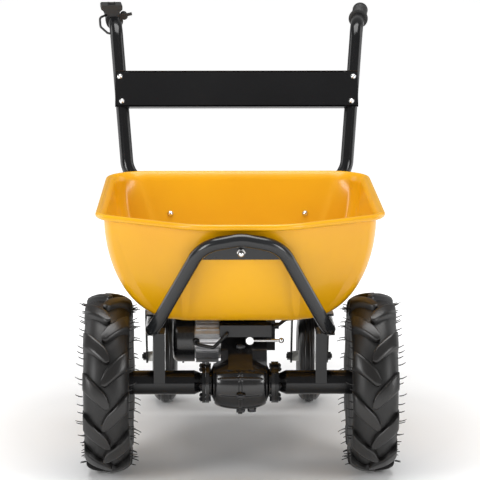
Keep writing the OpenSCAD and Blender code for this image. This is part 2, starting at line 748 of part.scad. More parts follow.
// ---- Frame ----
rail_x = rail_gap / 2;
riser_r = 50;
rail_joint_y = 0;
handle_foot_z = 430;
socket_len = 45;
function rail_path() = [[rail_x, rail_joint_y, rail_z], [rail_x, riser_y, rail_z],
    [rail_x, riser_y, handle_foot_z + socket_len]];
module frame_rail(side) {
    color("#1e1e1e") from_axle() sided(side) difference() {
        bent_tube(rail_path(), riser_r, rail_od, frame_wall);
        translate([rail_x, 0, 0]) handle_joint_bores(rail_od + 2);
        if (side < 0) translate([rail_x - rail_od / 2 - 1, cable_out_y, rail_z]) x_rod(-5, 12, 9);
    }
}
module frame_rail_left() { frame_rail(1); }
module frame_rail_right() { frame_rail(-1); }

// Two bolts across each joint of riser and handle
joint_bolts = [11, 33];
module handle_joint_bores(reach) {
    for (z = joint_bolts) translate([0, riser_y, handle_foot_z + z]) x_rod(-reach, reach, 6.4);
}

hoop_r = 75;
corner_x = 88;
corner_z = 560;
function hoop_path() = let (half = [[rail_x, rail_joint_y, rail_z], [rail_x, hoop_foot_y, rail_z],
        [corner_x, -hoop_reach(corner_z), corner_z]])
    concat(half, [[0, -hoop_reach(hoop_top_z), hoop_top_z]],
        [for (i = [2 : -1 : 0]) [-half[i][0], half[i][1], half[i][2]]]);
module front_hoop() {
    color("#37393b") from_axle() bent_tube(hoop_path(), hoop_r, rail_od, frame_wall);
}

// The gusset lies behind the hoop's tube, in the hoop's plane
gusset_t = 4;
gusset_low_z = 519;
gusset_bolt_z = 541;
front_bolt_d = 10;
module in_hoop_plane() {
    from_axle() translate([0, hoop_foot_y, rail_z]) rotate([hoop_lean, 0, 0]) children();
}
function up_hoop(z) = (z - rail_z) / cos(hoop_lean);
module hoop_gusset() {
    slope = (rail_x - corner_x) / (up_hoop(corner_z));
    low = up_hoop(gusset_low_z);
    high = up_hoop(corner_z) + 4;
    top = up_hoop(hoop_top_z);
    half_low = corner_x + slope * (up_hoop(corner_z) - low) + 6;
    color("#303234") in_hoop_plane() difference() {
        translate([0, rail_od / 2 + swell, 0]) rotate([90, 0, 0]) translate([0, 0, -gusset_t])
            linear_extrude(gusset_t) polygon([[-half_low, low], [half_low, low], [corner_x - 14, high],
                [52, top - 4], [0, top + 4], [-52, top - 4], [14 - corner_x, high]]);
        translate([0, 0, up_hoop(gusset_bolt_z)]) y_rod(-40, 80, front_bolt_d + 1);
    }
}

// A box-section post on each axle tube, its open foot saddled over the tube
post_x = 187;
post_size = [26, 62];
cap_t = 4;
post_wall = 3;
module axle_posts() {
    across = [post_x - post_size[0] / 2, post_x + post_size[0] / 2];
    along = [-post_size[1] / 2, post_size[1] / 2];
    top = rail_z - rail_od / 2;
    r = tube_od / 2;
    color("#1c1c1c") for (side = [-1, 1]) from_axle() sided(side) difference() {
        union() {
            box(across, along, [axle_z + 4, top - cap_t]);
            box([across[0], rail_x + rail_od / 2], [-36, 36], [top - cap_t, top]);
        }
        translate([0, 0, axle_z]) x_rod(0, 400, tube_od + 2 * fit);
        box(across + [post_wall, -post_wall], along + [post_wall, -post_wall],
            [axle_z + r + 8, top - cap_t]);
    }
}
cross_h = 44;
cross_half = rail_x + rail_od / 2 + 22;
cross_top = rail_z - rail_od / 2;
pad_t = 6;
pad = [104, 104];
pad_bolt = pad / 2 - [11, 11];
swivel_x = caster_track / 2;
plate_top = cross_top - cross_h - pad_t;
module caster_holes(z0, z1, d) {
    for (sx = [-1, 1], sy = [-1, 1]) translate([sx * pad_bolt[0], sy * pad_bolt[1], 0]) z_rod(z0, z1, d);
}
module rear_crossmember() {
    half_y = cross_h / 2;
    color("#1c1c1c") from_axle() translate([0, caster_y, 0]) difference() {
        union() {
            difference() {
                box([-cross_half, cross_half], [-half_y, half_y], [cross_top - cross_h, cross_top]);
                box([-cross_half - 1, cross_half + 1], [3 - half_y, half_y - 3],
                    [cross_top - cross_h + 3, cross_top - 3]);
            }
            for (s = [-1, 1]) translate([s * swivel_x, 0, 0])
                box([-pad[0] / 2, pad[0] / 2], [-pad[1] / 2, pad[1] / 2], [plate_top, plate_top + pad_t]);
        }
        for (s = [-1, 1]) translate([s * swivel_x, 0, 0])
            caster_holes(plate_top - 1, plate_top + pad_t + 1, 8.4);
    }
}

// ---- Casters ----
caster_axle_z = caster_od / 2;
caster_plate_t = 5;
head_h = 12;
crown_t = 12;
crown_top = plate_top - caster_plate_t - head_h;
crown_low = crown_top - crown_t;
kingpin_d = 14;
leg_t = 5;
leg_x = caster_w / 2 + 14;
fork_half = leg_x + leg_t;
caster_axle_d = 12;
module at_swivel(side) { from_axle() sided(side) translate([swivel_x, caster_y, 0]) children(); }
module at_caster_axle(side) { at_swivel(side) translate([0, caster_trail, caster_axle_z]) children(); }
module caster_plates() {
    color("#8f9193") for (side = [-1, 1]) at_swivel(side) difference() {
        union() {
            box([-pad[0] / 2, pad[0] / 2], [-pad[1] / 2, pad[1] / 2],
                [plate_top - caster_plate_t, plate_top]);
            z_rod(crown_top + gap, plate_top, 66);
            z_rod(crown_low - 3, plate_top, kingpin_d);
            z_rod(crown_low - 3 - gap, crown_low - gap, 20);
        }
        caster_holes(plate_top - caster_plate_t - 1, plate_top + 1, 8.4);
    }
}
module caster_fork(side) {
    color("#202020") at_swivel(side) difference() {
        union() {
            z_rod(crown_low, crown_top, 76);
            box([-fork_half, fork_half], [-26, 34], [crown_low, crown_low + leg_t + 2]);
            for (s = [-1, 1]) slab(min(s * leg_x, s * fork_half), max(s * leg_x, s * fork_half)) {
                polygon([[-26, crown_low + leg_t + 2], [-26, crown_low - 12],
                    [caster_trail - 17, caster_axle_z - 4], [caster_trail + 17, caster_axle_z + 2],
                    [34, crown_low + leg_t + 2]]);
                translate([caster_trail, caster_axle_z]) circle(r = 18);
            }
            translate([0, caster_trail, caster_axle_z]) {
                x_rod(-fork_half - 10, fork_half + 11, caster_axle_d);
                for (x = [-fork_half - 8, fork_half]) x_hex(x, x + 8, 19);
            }
        }
        z_rod(crown_low - 1, crown_top + 1, kingpin_d + 2 * fit);
    }
}
module caster_fork_left() { caster_fork(1); }
module caster_fork_right() { caster_fork(-1); }
caster_rim_r = 74;
module caster_tyre(side) {
    r = caster_od / 2;
    w = caster_w / 2;
    color("#2a2726") at_caster_axle(side) about_x() difference() {
        union() {
            translate([r - w, 0]) circle(r = w);
            translate([caster_rim_r, -w + 4]) square([r - w - caster_rim_r, 2 * w - 8]);
        }
        translate([0, -w - 1]) square([caster_rim_r + fit, 2 * w + 2]);
        for (x = [-12, 0, 12]) translate([r - 4, x - 1.5]) square([10, 3]);
    }
}
module caster_tyre_left() { caster_tyre(1); }
module caster_tyre_right() { caster_tyre(-1); }
module caster_hub(side) {
    w = caster_w / 2;
    bore = caster_axle_d / 2 + fit;
    color("#c9c9c6") at_caster_axle(side) difference() {
        about_x() polygon([[bore, -leg_x + gap], [bore + 7, -leg_x + gap], [bore + 8, -9],
            [caster_rim_r - 12, -5],
            [caster_rim_r - 8, -w + 6], [caster_rim_r, -w + 6], [caster_rim_r, w - 6],
            [caster_rim_r - 8, w - 6], [caster_rim_r - 12, 5], [bore + 8, 9], [bore + 7, leg_x - gap],
            [bore, leg_x - gap]]);
        for (a = [0 : 60 : 300]) rotate([a, 0, 0]) translate([0, 0, 40]) x_rod(-40, 40, 18);
    }
}
module caster_hub_left() { caster_hub(1); }
module caster_hub_right() { caster_hub(-1); }

// ---- Bars that carry the tray and the battery box ----
bar_w = 30;
tray_floor_z = rail_z + rail_od / 2 + bar_t;
hang_z = rail_z - rail_od / 2 - bar_t;
tray_bar_y = [40, 372];
hang_bar_y = [battery_y0 - 18, battery_y1 + 18, battery_y1 + 62, battery_y1 + 152];
strap_w = 42;
bracket_lean = 22;
module cross_bars() {
    half = rail_x + rail_od / 2;
    color("#1c1c1c") from_axle() {
        for (y = tray_bar_y) box([-half, half], [y - 20, y + 20], [tray_floor_z - bar_t, tray_floor_z]);
        for (y = hang_bar_y) difference() {
            box([-half, half], [y - bar_w / 2, y + bar_w / 2], [hang_z, hang_z + bar_t]);
            for (s = [-1, 1]) translate([s * 60, y, 0]) z_rod(hang_z - 1, hang_z + bar_t + 1, 6.4);
        }
    }
}
module at_rear_bolts() {
    for (s = [-1, 1]) translate([s * rear_bolt_x, rear_wall_y(rear_bolt_z), rear_bolt_z])
        rotate([-bracket_lean, 0, 0]) children();
}
// Two leaning uprights with a strap across them carry the tray's rear wall
module rear_bracket() {
    back = bar_t + gap;
    rise = rear_bolt_z - rail_z - rail_od / 2;
    up = rise / cos(bracket_lean) - back * tan(bracket_lean) + strap_w / 2;
    half = rail_od / 2;
    color("#1c1c1c") from_axle() translate([0, rear_wall_y(rear_bolt_z), rear_bolt_z])
        rotate([-bracket_lean, 0, 0]) difference() {
            union() {
                box([-rail_x - half, rail_x + half], [gap, back], [-strap_w / 2, strap_w / 2]);
                for (s = [-1, 1]) translate([s * rail_x, 0, 0])
                    box([-half, half], [gap, back], [strap_w / 2 - up, strap_w / 2]);
            }
            for (s = [-1, 1]) translate([s * rear_bolt_x, 0, 0]) y_rod(-30, 30, 8.4);
        }
}

// ---- Tray: its outlines are polygons with rounded corners, one at each height ----
rear_bolt_x = 171;
rear_bolt_z = 525;
lip_r = 6;
// Half outline at the floor and at the rim, each corner as [x, y, radius]
floor_corners = [[floor_half_w - 30, -50, 26], [floor_half_w, -28, 40], [floor_half_w, 420, 46]];
rim_corners = [[100, -185, 150], [tray_half_w, -50, 62], [tray_half_w, tray_len - 185, 84]];
rim_rise = 0.0276;
arc_steps = [4, 4, 7];
function both_sides(c) = concat(c, [for (i = [len(c) - 1 : -1 : 0]) [-c[i][0], c[i][1], c[i][2]]]);
function corner_arc(a, b, c, r, steps) =
    let (u = unit([b[0] - a[0], b[1] - a[1]]), v = unit([c[0] - b[0], c[1] - b[1]]),
        t = acos(u * v), start = [b[0], b[1]] - u * r * tan(t / 2), in = [-u[1], u[0]])
    [for (k = [0 : steps]) let (q = t * k / steps)
        [each (start + r * (u * sin(q) + in * (1 - cos(q)))), each (u * sin(q) - in * cos(q))]];
function outline(corners) = let (c = both_sides(corners), n = len(c))
    [for (i = [0 : n - 1]) each corner_arc(c[(i + n - 1) % n], c[i], c[(i + 1) % n], c[i][2],
        arc_steps[i < 3 ? i : 5 - i])];
function spread(q, flat) = (1 - flat) * sin(q) + flat * (1 - cos(q));
function flatness(p) = abs(p[3]) < 0.7 ? 0 : 0.5 * min(1, (abs(p[3]) - 0.7) / 0.25);
function rim_height(y) = tray_depth + rim_rise * (y + 185);
// A point of the wall: q runs from 0 at the floor to 90 at the rim, inset is measured into the tray
function wall_point(low, high, q, inset) =
    let (h = spread(q, flatness(high)), rise = rim_height(high[1]), n = [high[2], high[3]],
        tangent = unit([150 * cos(q), rise * sin(q)]),
        xy = [low[0], low[1]] * (1 - h) + [high[0], high[1]] * h - n * inset * tangent[1])
    [each xy, tray_floor_z + rise * (1 - cos(q)) + inset * tangent[0]];
function lip_point(high, out, up) = [each ([high[0], high[1]] + [high[2], high[3]] * out),
    tray_floor_z + rim_height(high[1]) + up];
function end_wall_y(z, corner) =
    let (top_y = rim_corners[corner][1],
        h = spread(acos(1 - (z - tray_floor_z) / rim_height(top_y)), 0.5))
    floor_corners[corner][1] * (1 - h) + top_y * h;
function rear_wall_y(z) = end_wall_y(z, 2);
function front_wall_y(z) = end_wall_y(z, 0);
wall_steps = 9;
bead_steps = 8;
module tray_shell() {
    low = outline(floor_corners);
    high = outline(rim_corners);
    n = len(low);
    b = bead_od / 2;
    rings = concat(
        [for (k = [0 : wall_steps]) [for (i = [0 : n - 1])
            wall_point(low[i], high[i], 90 * k / wall_steps, 0)]],
        [for (k = [0 : bead_steps]) let (a = -150 + 300 * k / bead_steps)
            [for (p = high) lip_point(p, lip_r + b + b * cos(a), lip_r + b * sin(a))]],
        [for (k = [wall_steps : -1 : 0]) [for (i = [0 : n - 1])
            wall_point(low[i], high[i], 90 * k / wall_steps, sheet)]]);
    m = len(rings);
    skin = [for (j = [0 : m - 2], i = [0 : n - 1]) let (a = j * n + i, c = j * n + (i + 1) % n)
        each [[a, c + n, c], [a, a + n, c + n]]];
    polyhedron([for (r = rings) each r],
        concat(skin, [[for (i = [0 : n - 1]) i], [for (i = [n - 1 : -1 : 0]) (m - 1) * n + i]]));
}
module tray() {
    color("#eba914") from_axle() difference() {
        tray_shell();
        at_rear_bolts() y_rod(-20, 20, 9);
        translate([0, -hoop_reach(gusset_bolt_z), gusset_bolt_z]) rotate([hoop_lean, 0, 0])
            y_rod(0, 60, front_bolt_d + 1);
    }
}
// Two bolts through the rear wall and one through the front wall and the gusset
module tray_bolts() {
    seat = rail_od / 2 + swell;
    wall_z = gusset_bolt_z + 10;
    head = (front_wall_y(wall_z) + hoop_reach(gusset_bolt_z)) / cos(hoop_lean) + sheet + 1.8;
    color("#d8d6d0") {
        from_axle() at_rear_bolts() translate([0, -sheet - 1, 0]) rotate([-90, 0, 0])
            dome_bolt(8, sheet + 1 + gap + bar_t, 4);
        in_hoop_plane() translate([0, 0, up_hoop(gusset_bolt_z)]) {
            translate([0, head, 0]) rotate([90, 0, 0]) dome_bolt(front_bolt_d, head - seat, 2);
            translate([0, seat - 12, 0]) sphere(d = 15);
        }
    }
}

// ---- Battery box and controller, hung from the cross bars ----
ear_z = [hang_z - 4, hang_z];
batt_gap = 2;
box_half_x = battery_size[0] / 2 + 8 + box_wall;
box_y = [battery_y0, battery_y1];
box_top = tray_floor_z - bar_t - 8;
box_low = box_top - battery_size[2] - box_wall - 14;
bolt_x = 60;
socket_c = [0, (box_y[0] + box_y[1]) / 2, box_low + 40];
socket_od = 16;
module battery_box() {
    color("#151515") from_axle() difference() {
        union() {
            box([-box_half_x, box_half_x], box_y, [box_low, box_top]);
            box([-box_half_x + 6, box_half_x - 6], [box_y[0] - 30, box_y[1] + 30], ear_z);
        }
        box([-box_half_x + box_wall, box_half_x - box_wall], box_y + [box_wall, -box_wall],
            [box_low + box_wall, box_top + 1]);
        for (s = [-1, 1], y = [hang_bar_y[0], hang_bar_y[1]]) translate([s * bolt_x, y, 0])
            z_rod(ear_z[0] - 1, ear_z[1] + 1, 6.4);
        translate(socket_c) x_rod(box_half_x - 10, box_half_x + 1, socket_od);
    }
    color("#151515") from_axle() translate(socket_c) difference() {
        union() {
            x_rod(box_half_x - box_wall, box_half_x + 12, socket_od);
            x_rod(box_half_x, box_half_x + 3, 26);
        }
        x_rod(box_half_x + 1, box_half_x + 13, 11);
    }
}
module battery_lid() {
    color("#101010") from_axle() {
        box([-box_half_x - 2, box_half_x + 2], box_y + [-2, 2], [box_top, box_top + 3]);
        difference() {
            box([-box_half_x + box_wall + gap, box_half_x - box_wall - gap],
                box_y + [box_wall + gap, -box_wall - gap], [box_top - 5, box_top + 1]);
            box([-box_half_x + 2 * box_wall, box_half_x - 2 * box_wall],
                box_y + [2 * box_wall, -2 * box_wall], [box_top - 6, box_top]);
        }
    }
}
module batteries() {
    half = battery_size[0] / 2;
    z0 = box_low + box_wall;
    color("#3d4043") from_axle() for (i = [0, 1]) {
        y0 = box_y[0] + box_wall + batt_gap + i * (battery_size[1] + batt_gap);
        box([-half, half], [y0, y0 + battery_size[1]], [z0, z0 + battery_size[2]]);
        for (s = [-1, 1]) translate([s * (half - 14), y0 + battery_size[1] / 2, 0])
            box([-4, 4], [-4, 4], [z0 + battery_size[2] - 1, z0 + battery_size[2] + 7]);
    }
}
ctrl_x = 60;
ctrl_y = [battery_y1 + 80, battery_y1 + 134];
ctrl_z = [ear_z[0] - 27, ear_z[0]];
module controller() {
    color("#8f9193") from_axle() difference() {
        union() {
            box([-ctrl_x, ctrl_x], ctrl_y, [ctrl_z[0] + 8, ctrl_z[1] + 1]);
            for (i = [0 : 9]) translate([-ctrl_x + 3 + i * (2 * ctrl_x - 6) / 9, 0, 0])
                box([-1.5, 1.5], ctrl_y, [ctrl_z[0], ctrl_z[0] + 9]);
            box([-ctrl_x - 10, ctrl_x + 10], [hang_bar_y[2] - 12, hang_bar_y[3] + 12], ear_z);
        }
        for (s = [-1, 1], y = [hang_bar_y[2], hang_bar_y[3]]) translate([s * bolt_x, y, 0])
            z_rod(ear_z[0] - 1, ear_z[1] + 1, 6.4);
    }
}
// Caster bolts, and the bolts that hang the battery box and the controller
module frame_bolts() {
    low = plate_top - caster_plate_t;
    color("#b9b7b0") {
        for (side = [-1, 1]) at_swivel(side)
            for (sx = [-1, 1], sy = [-1, 1]) translate([sx * pad_bolt[0], sy * pad_bolt[1], low])
                bolt(8, caster_plate_t + pad_t, 2);
        from_axle() for (s = [-1, 1], y = hang_bar_y) translate([s * bolt_x, y, ear_z[0]])
            bolt(6, ear_z[1] - ear_z[0] + bar_t, 2);
    }
}

// ---- Handles ----
handle_bend_r = 60;
function handle_path() = [[rail_x, riser_y, handle_foot_z], [rail_x, riser_y, handle_foot_z + 70],
    [grip_x - 56, riser_y + 7, grip_z - 393], [grip_x - 22, grip_y - 200, grip_z - 30],
    [grip_x, grip_y, grip_z]];
function along_handle(z) = let (a = handle_path()[2], b = handle_path()[3])
    a + (b - a) * (z - a[2]) / (b[2] - a[2]);
plate_z = grip_z - 198;
plate_t = 2.5;
plate_bolt_up = 34;
upper_run = handle_path()[3] - handle_path()[2];
plate_lean = atan(upper_run[1] / upper_run[2]);
module at_plate() {
    from_axle() translate([0, along_handle(plate_z)[1], plate_z]) rotate([-plate_lean, 0, 0]) children();
}
module at_plate_bolts() {
    for (side = [-1, 1], up = [-plate_bolt_up, plate_bolt_up]) at_plate()
        translate([side * along_handle(plate_z + up * cos(plate_lean))[0], 0, up]) children();
}
cable_in_z = grip_z - 52;
control_d = 6;
module handle(side) {
    difference() {
        color("#1b1b1b") from_axle() sided(side) difference() {
            bent_tube(handle_path(), handle_bend_r, handle_od, frame_wall);
            translate([rail_x, 0, 0]) handle_joint_bores(handle_od);
            if (side < 0) translate(along_handle(cable_in_z)) x_rod(4, handle_od, control_d + 6);
        }
        at_plate_bolts() y_rod(-handle_od, handle_od, 8.4);
    }
}
module handle_left() { handle(1); }
module handle_right() { handle(-1); }
module handle_bolts() {
    color("#c9c7c0") {
        for (side = [-1, 1], z = joint_bolts) from_axle() sided(side)
            translate([rail_x - handle_od / 2, riser_y, handle_foot_z + z])
                rotate([0, 90, 0]) bolt(6, handle_od, 2);
        at_plate_bolts() translate([0, -handle_od / 2 - plate_t - fit, 0]) rotate([-90, 0, 0])
            dome_bolt(8, handle_od + plate_t + fit, 3);
    }
}
module cross_plate() {
    y0 = -handle_od / 2 - fit - plate_t;
    flange_half = along_handle(plate_z)[0] - handle_od / 2 - 16;
    color("#161616") difference() {
        at_plate() {
            box([-plate_w / 2, plate_w / 2], [y0, y0 + plate_t], [-plate_h / 2, plate_h / 2]);
            for (s = [-1, 1]) translate([0, 0, s * (plate_h - plate_t) / 2])
                box([-flange_half, flange_half], [y0, y0 + 16], [-plate_t / 2, plate_t / 2]);
        }
        at_plate_bolts() y_rod(-handle_od, 0, 8.4);
    }
}

// Frame of a grip: +Y runs along the handle to its end, +X outwards, +Z up
grip_dir = unit(handle_path()[4] - handle_path()[3]);
grip_side = unit(cross(grip_dir, [0, 0, 1]));
grip_up = cross(grip_side, grip_dir);
module at_grip(side) {
    from_axle() sided(side)
        multmatrix(placed_at(grip_side, grip_dir, grip_up, handle_path()[4])) children();
}
ridges = 11;
module grip(side, flange_d) {
    color("#141414") at_grip(side) difference() {
        union() {
            y_rod(-grip_len, 4, grip_od);
            y_rod(-grip_len, 5 - grip_len, flange_d);
            y_rod(-4, 4, grip_od + 4);
            for (i = [0 : ridges - 1]) let (y = -grip_len + 14 + i * (grip_len - 26) / (ridges - 1))
                y_rod(y - 2, y + 2, grip_od + 1.6);
        }
        y_rod(-grip_len - 1, fit, handle_od + 2 * fit);
    }
}
module grip_left() { grip(1, 52); }
module grip_right() { grip(-1, 46); }

clamp_y = [-grip_len - 30, -grip_len - 3];
panel_y = [-grip_len - 52, -grip_len - 6];
lever_pivot = [-handle_od / 2 - 9, 0, 13];
pivot_d = 5;
switch_c = [8, -grip_len - 30, 48];
module control_housing() {
    color("#121212") at_grip(-1) difference() {
        union() {
            y_rod(clamp_y[0], clamp_y[1], handle_od + 12);
            translate([0, panel_y[0], 0]) mirror([0, 1, 0]) rotate([90, 0, 0])
                linear_extrude(panel_y[1] - panel_y[0]) polygon([[-9, 17], [16, 17], [24, 26], [37, 36],
                    [37, 45], [34, 48], [-18, 48], [-20, 45], [-20, 36], [-12, 28]]);
            for (y = [clamp_y[0], clamp_y[1] - 5])
                translate([lever_pivot[0], 0, lever_pivot[2]]) y_rod(y, y + 5, 19);
        }
        y_rod(panel_y[0] - 5, clamp_y[1] + 5, handle_od + 2 * fit);
        translate([lever_pivot[0], 0, lever_pivot[2]]) y_rod(clamp_y[0] - 1, clamp_y[1] + 1, pivot_d);
        translate([lever_pivot[0], 0, lever_pivot[2]]) y_rod(clamp_y[0] + 5, clamp_y[1] - 5, 22);
        translate(switch_c) box([-10.5, 10.5], [-7, 7], [-10, 5]);
        translate(switch_c + [0, 0, -3]) y_rod(-9, 9, 3 + 2 * fit);
    }
    color("#121212") at_grip(-1) translate([lever_pivot[0], 0, lever_pivot[2]])
        y_rod(clamp_y[0] - 1, clamp_y[1] + 1, pivot_d);
}
module throttle_lever() {
    color("#1a1a1a") at_grip(-1) translate([lever_pivot[0], 0, lever_pivot[2]]) difference() {
        union() {
            y_rod(clamp_y[0] + 5 + gap, clamp_y[1] - 5 - gap, 13);
            rotate([0, 12, 0]) box([-22, -4], [clamp_y[0] + 7, clamp_y[1] - 7], [-3, 3]);
        }
        y_rod(clamp_y[0], clamp_y[1], pivot_d + 2 * fit);
    }
}
module direction_switch() {
    color("#151414") at_grip(-1) translate(switch_c + [0, 0, -3]) {
        y_rod(-8.5, 8.5, 3);
        mirror([0, 1, 0]) rotate([90, 0, 0]) translate([0, 0, -6.5]) linear_extrude(13)
            polygon([[-9.5, 3], [-9.5, 7.5], [0, 5.5], [9.5, 7.5], [9.5, 3], [3, -4], [-3, -4]]);
    }
}
// The cable runs inside the right handle and rail, beside the bolts that cross them
cable_aside = 8.5;
module control_cable() {
    h = handle_path();
    entry = along_handle(cable_in_z);
    start = placed_point([20, panel_y[0] + 14, 20]);
    end = [ctrl_x, ctrl_y[1] - 14, ctrl_z[0] + 16];
    aside = [-cable_aside, 0, 0];
    path = [start, start + [20, -2, -8], start + [18, -8, -32], entry + [23, 0, 2], entry + aside,
        h[2] + aside, h[1] + [-2, -cable_aside, 0], [rail_x, riser_y - cable_aside, rail_z + cable_aside],
        [rail_x, cable_out_y + 60, rail_z + cable_aside], [rail_x, cable_out_y, rail_z],
        [rail_x - 34, cable_out_y, rail_z], end + [30, 0, 0], end];
    bends = [0, 9, 9, 9, 10, 50, 50, riser_r - cable_aside, 60, 13, 12, 14, 0];
    color("#0c0c0c") from_axle() sided(-1) cord(path, bends, control_d);
}
function placed_point(p) = handle_path()[4] + grip_side * p[0] + grip_dir * p[1] + grip_up * p[2];

tyre_left();
tyre_right();
rim_left();
rim_right();
hub_left();
hub_right();
half_shaft_left();
half_shaft_right();
wheel_nuts_left();
wheel_nuts_right();
axle_tube_left();
axle_tube_right();
wheel_bearings();
gearcase_left();
gearcase_right();
gearcase_bolts();
reduction_gear();
diff_carrier();
diff_pinions();
release_lever();
motor_body();
motor_magnets();
motor_rotor();
motor_end_bell();
junction_box();
motor_cable();
power_loom();
front_hoop();
hoop_gusset();
frame_rail_left();
frame_rail_right();
axle_posts();
rear_crossmember();
caster_plates();
caster_fork_left();
caster_fork_right();
caster_tyre_left();
caster_tyre_right();
caster_hub_left();
caster_hub_right();
frame_bolts();
cross_bars();
rear_bracket();
tray();
tray_bolts();
battery_box();
battery_lid();
batteries();
controller();
handle_left();
handle_right();
handle_bolts();
cross_plate();
grip_left();
grip_right();
control_housing();
throttle_lever();
direction_switch();
control_cable();
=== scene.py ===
import math

import bmesh
import bpy
import numpy as np
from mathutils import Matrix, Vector


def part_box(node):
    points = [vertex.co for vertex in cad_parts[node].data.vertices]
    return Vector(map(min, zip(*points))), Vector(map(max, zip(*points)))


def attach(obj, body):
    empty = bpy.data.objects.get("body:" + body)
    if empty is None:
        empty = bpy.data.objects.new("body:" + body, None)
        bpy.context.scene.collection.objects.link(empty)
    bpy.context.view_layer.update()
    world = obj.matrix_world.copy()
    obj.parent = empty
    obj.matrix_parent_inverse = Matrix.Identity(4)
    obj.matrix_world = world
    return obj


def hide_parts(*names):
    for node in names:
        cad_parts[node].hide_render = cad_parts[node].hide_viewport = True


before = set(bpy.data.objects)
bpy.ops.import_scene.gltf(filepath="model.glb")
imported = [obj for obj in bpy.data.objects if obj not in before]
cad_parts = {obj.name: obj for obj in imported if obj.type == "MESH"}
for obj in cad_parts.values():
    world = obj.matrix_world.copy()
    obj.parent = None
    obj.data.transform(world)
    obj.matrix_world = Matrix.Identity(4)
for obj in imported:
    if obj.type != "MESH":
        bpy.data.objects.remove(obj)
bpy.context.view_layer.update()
mm = 0.001
print("frame loaded")

# camera, floor and light
view = {"place": (-0.058, -5.428, 1.35), "down": 9.17, "turn": -0.66, "lens": 165.0}
cameraData = bpy.data.cameras.new("viewCamera")
camera = bpy.data.objects.new("viewCamera", cameraData)
bpy.context.scene.collection.objects.link(camera)
bpy.context.scene.camera = camera
camera.location = view["place"]
camera.rotation_euler = (math.radians(90 - view["down"]), 0, math.radians(view["turn"]))
cameraData.lens = view["lens"]
cameraData.sensor_width = 36.0
cameraData.clip_end = 100.0
bpy.context.scene.view_settings.view_transform = "Standard"

# glow, glowFrom and glowTo set the floor's painted light, which grows from the machine outwards and
# leaves a painted shadow beneath it
studio = {"world": 0.28, "keyPower": 72.0, "topPower": 98.0, "sidePower": 20.0, "fillPower": 56.0,
          "floorNear": 0.86, "floorFar": 0.9, "glow": 0.75,
          "glowFrom": 0.55, "glowTo": 2.3}


def softLight(name, place, target, size, power):
    data = bpy.data.lights.new(name, "AREA")
    data.shape = "RECTANGLE"
    data.size, data.size_y = size
    data.energy = power
    light = bpy.data.objects.new(name, data)
    light.location = place
    light.rotation_euler = (Vector(target) - Vector(place)).to_track_quat("-Z", "Y").to_euler()
    bpy.context.scene.collection.objects.link(light)


softLight("keyLight", (-2.8, -3.0, 1.7), (0, -0.2, 0.5), (1.2, 1.8), studio["keyPower"])
softLight("topLight", (0, -0.2, 3.4), (0, -0.2, 0), (2.6, 2.0), studio["topPower"])
softLight("leftLight", (-2.7, 0.9, 1.3), (0, -0.2, 0.6), (1.6, 2.2), studio["sidePower"])
softLight("rightLight", (2.7, 0.9, 1.3), (0, -0.2, 0.6), (1.6, 2.2), studio["sidePower"])
softLight("fillLight", (2.9, -2.8, 1.6), (0, -0.3, 0.5), (1.2, 1.8), studio["fillPower"])
world = bpy.data.worlds.new("studioWorld")
bpy.context.scene.world = world
world.use_nodes = True
world.node_tree.nodes["Background"].inputs["Color"].default_value = (1, 1, 1, 1)
world.node_tree.nodes["Background"].inputs["Strength"].default_value = studio["world"]


# shader maths
class Wire:  # a socket that takes part in sums
    def __init__(self, finish, socket):
        self.finish = finish
        self.socket = socket

    def sum(self, operation, first, second=None):
        values = {0: first}
        if second is not None:
            values[1] = second
        return self.finish.add("Math", {"operation": operation}, values)

    def __add__(self, other):
        return self.sum("ADD", self, other)

    def __radd__(self, other):
        return self.sum("ADD", other, self)

    def __sub__(self, other):
        return self.sum("SUBTRACT", self, other)

    def __rsub__(self, other):
        return self.sum("SUBTRACT", other, self)

    def __mul__(self, other):
        return self.sum("MULTIPLY", self, other)

    def __rmul__(self, other):
        return self.sum("MULTIPLY", other, self)

    def __pow__(self, other):
        return self.sum("POWER", self, other)


class Finish:  # one procedural material around a Principled shader
    def __init__(self, name):
        self.material = bpy.data.materials.new(name)
        self.material.use_nodes = True
        self.tree = self.material.node_tree
        self.shader = self.tree.nodes["Principled BSDF"]
        self.place = self.add("TexCoord", output="Object")

    def add(self, kind, settings=None, values=None, output=0):
        made = self.tree.nodes.new("ShaderNode" + kind)
        for key, value in (settings or {}).items():
            if key == "stops":
                ramp = made.color_ramp.elements
                while len(ramp) < len(value):
                    ramp.new(0.5)
                for stop, (at, colour) in zip(ramp, value):
                    stop.position = at
                    stop.color = (*colour, 1)
            else:
                setattr(made, key, value)
        for key, value in (values or {}).items():
            self.put(made.inputs[key], value)
        return Wire(self, made.outputs[output])

    def put(self, socket, value):
        if isinstance(value, Wire):
            self.tree.links.new(value.socket, socket)
        elif isinstance(value, tuple) and len(value) == 3 and len(socket.default_value) == 4:
            socket.default_value = (*value, 1)
        else:
            socket.default_value = value

    def set(self, **values):
        for key, value in values.items():
            self.put(self.shader.inputs[key.replace("_", " ")], value)
        return self

    def noise(self, scale, detail=3.0, rough=0.55, place=None):
        return self.add("TexNoise", {}, {"Vector": place or self.place, "Scale": scale,
                                         "Detail": detail,
                                         "Roughness": rough})

    def stretched(self, size):
        return self.add("Mapping", {}, {"Vector": self.place, "Scale": size})

    def ramp(self, value, *stops):
        return self.add("ValToRGB", {"stops": stops}, {"Fac": value})

    def band(self, value, low, high):  # 0 below low, 1 above high
        return self.add("MapRange", {"clamp": True}, {"Value": value, "From Min": low,
                                                      "From Max": high})

    def mix(self, amount, first, second):
        return self.add("Mix", {"data_type": "RGBA"}, {0: amount, 6: first, 7: second}, output=2)

    def bump(self, height, distance, strength=1.0):
        normal = self.add("Bump", {}, {"Height": height, "Distance": distance, "Strength": strength})
        return self.set(Normal=normal)


def axisOf(finish, axis):
    return finish.add("SeparateXYZ", {}, {0: finish.place}, output=axis)


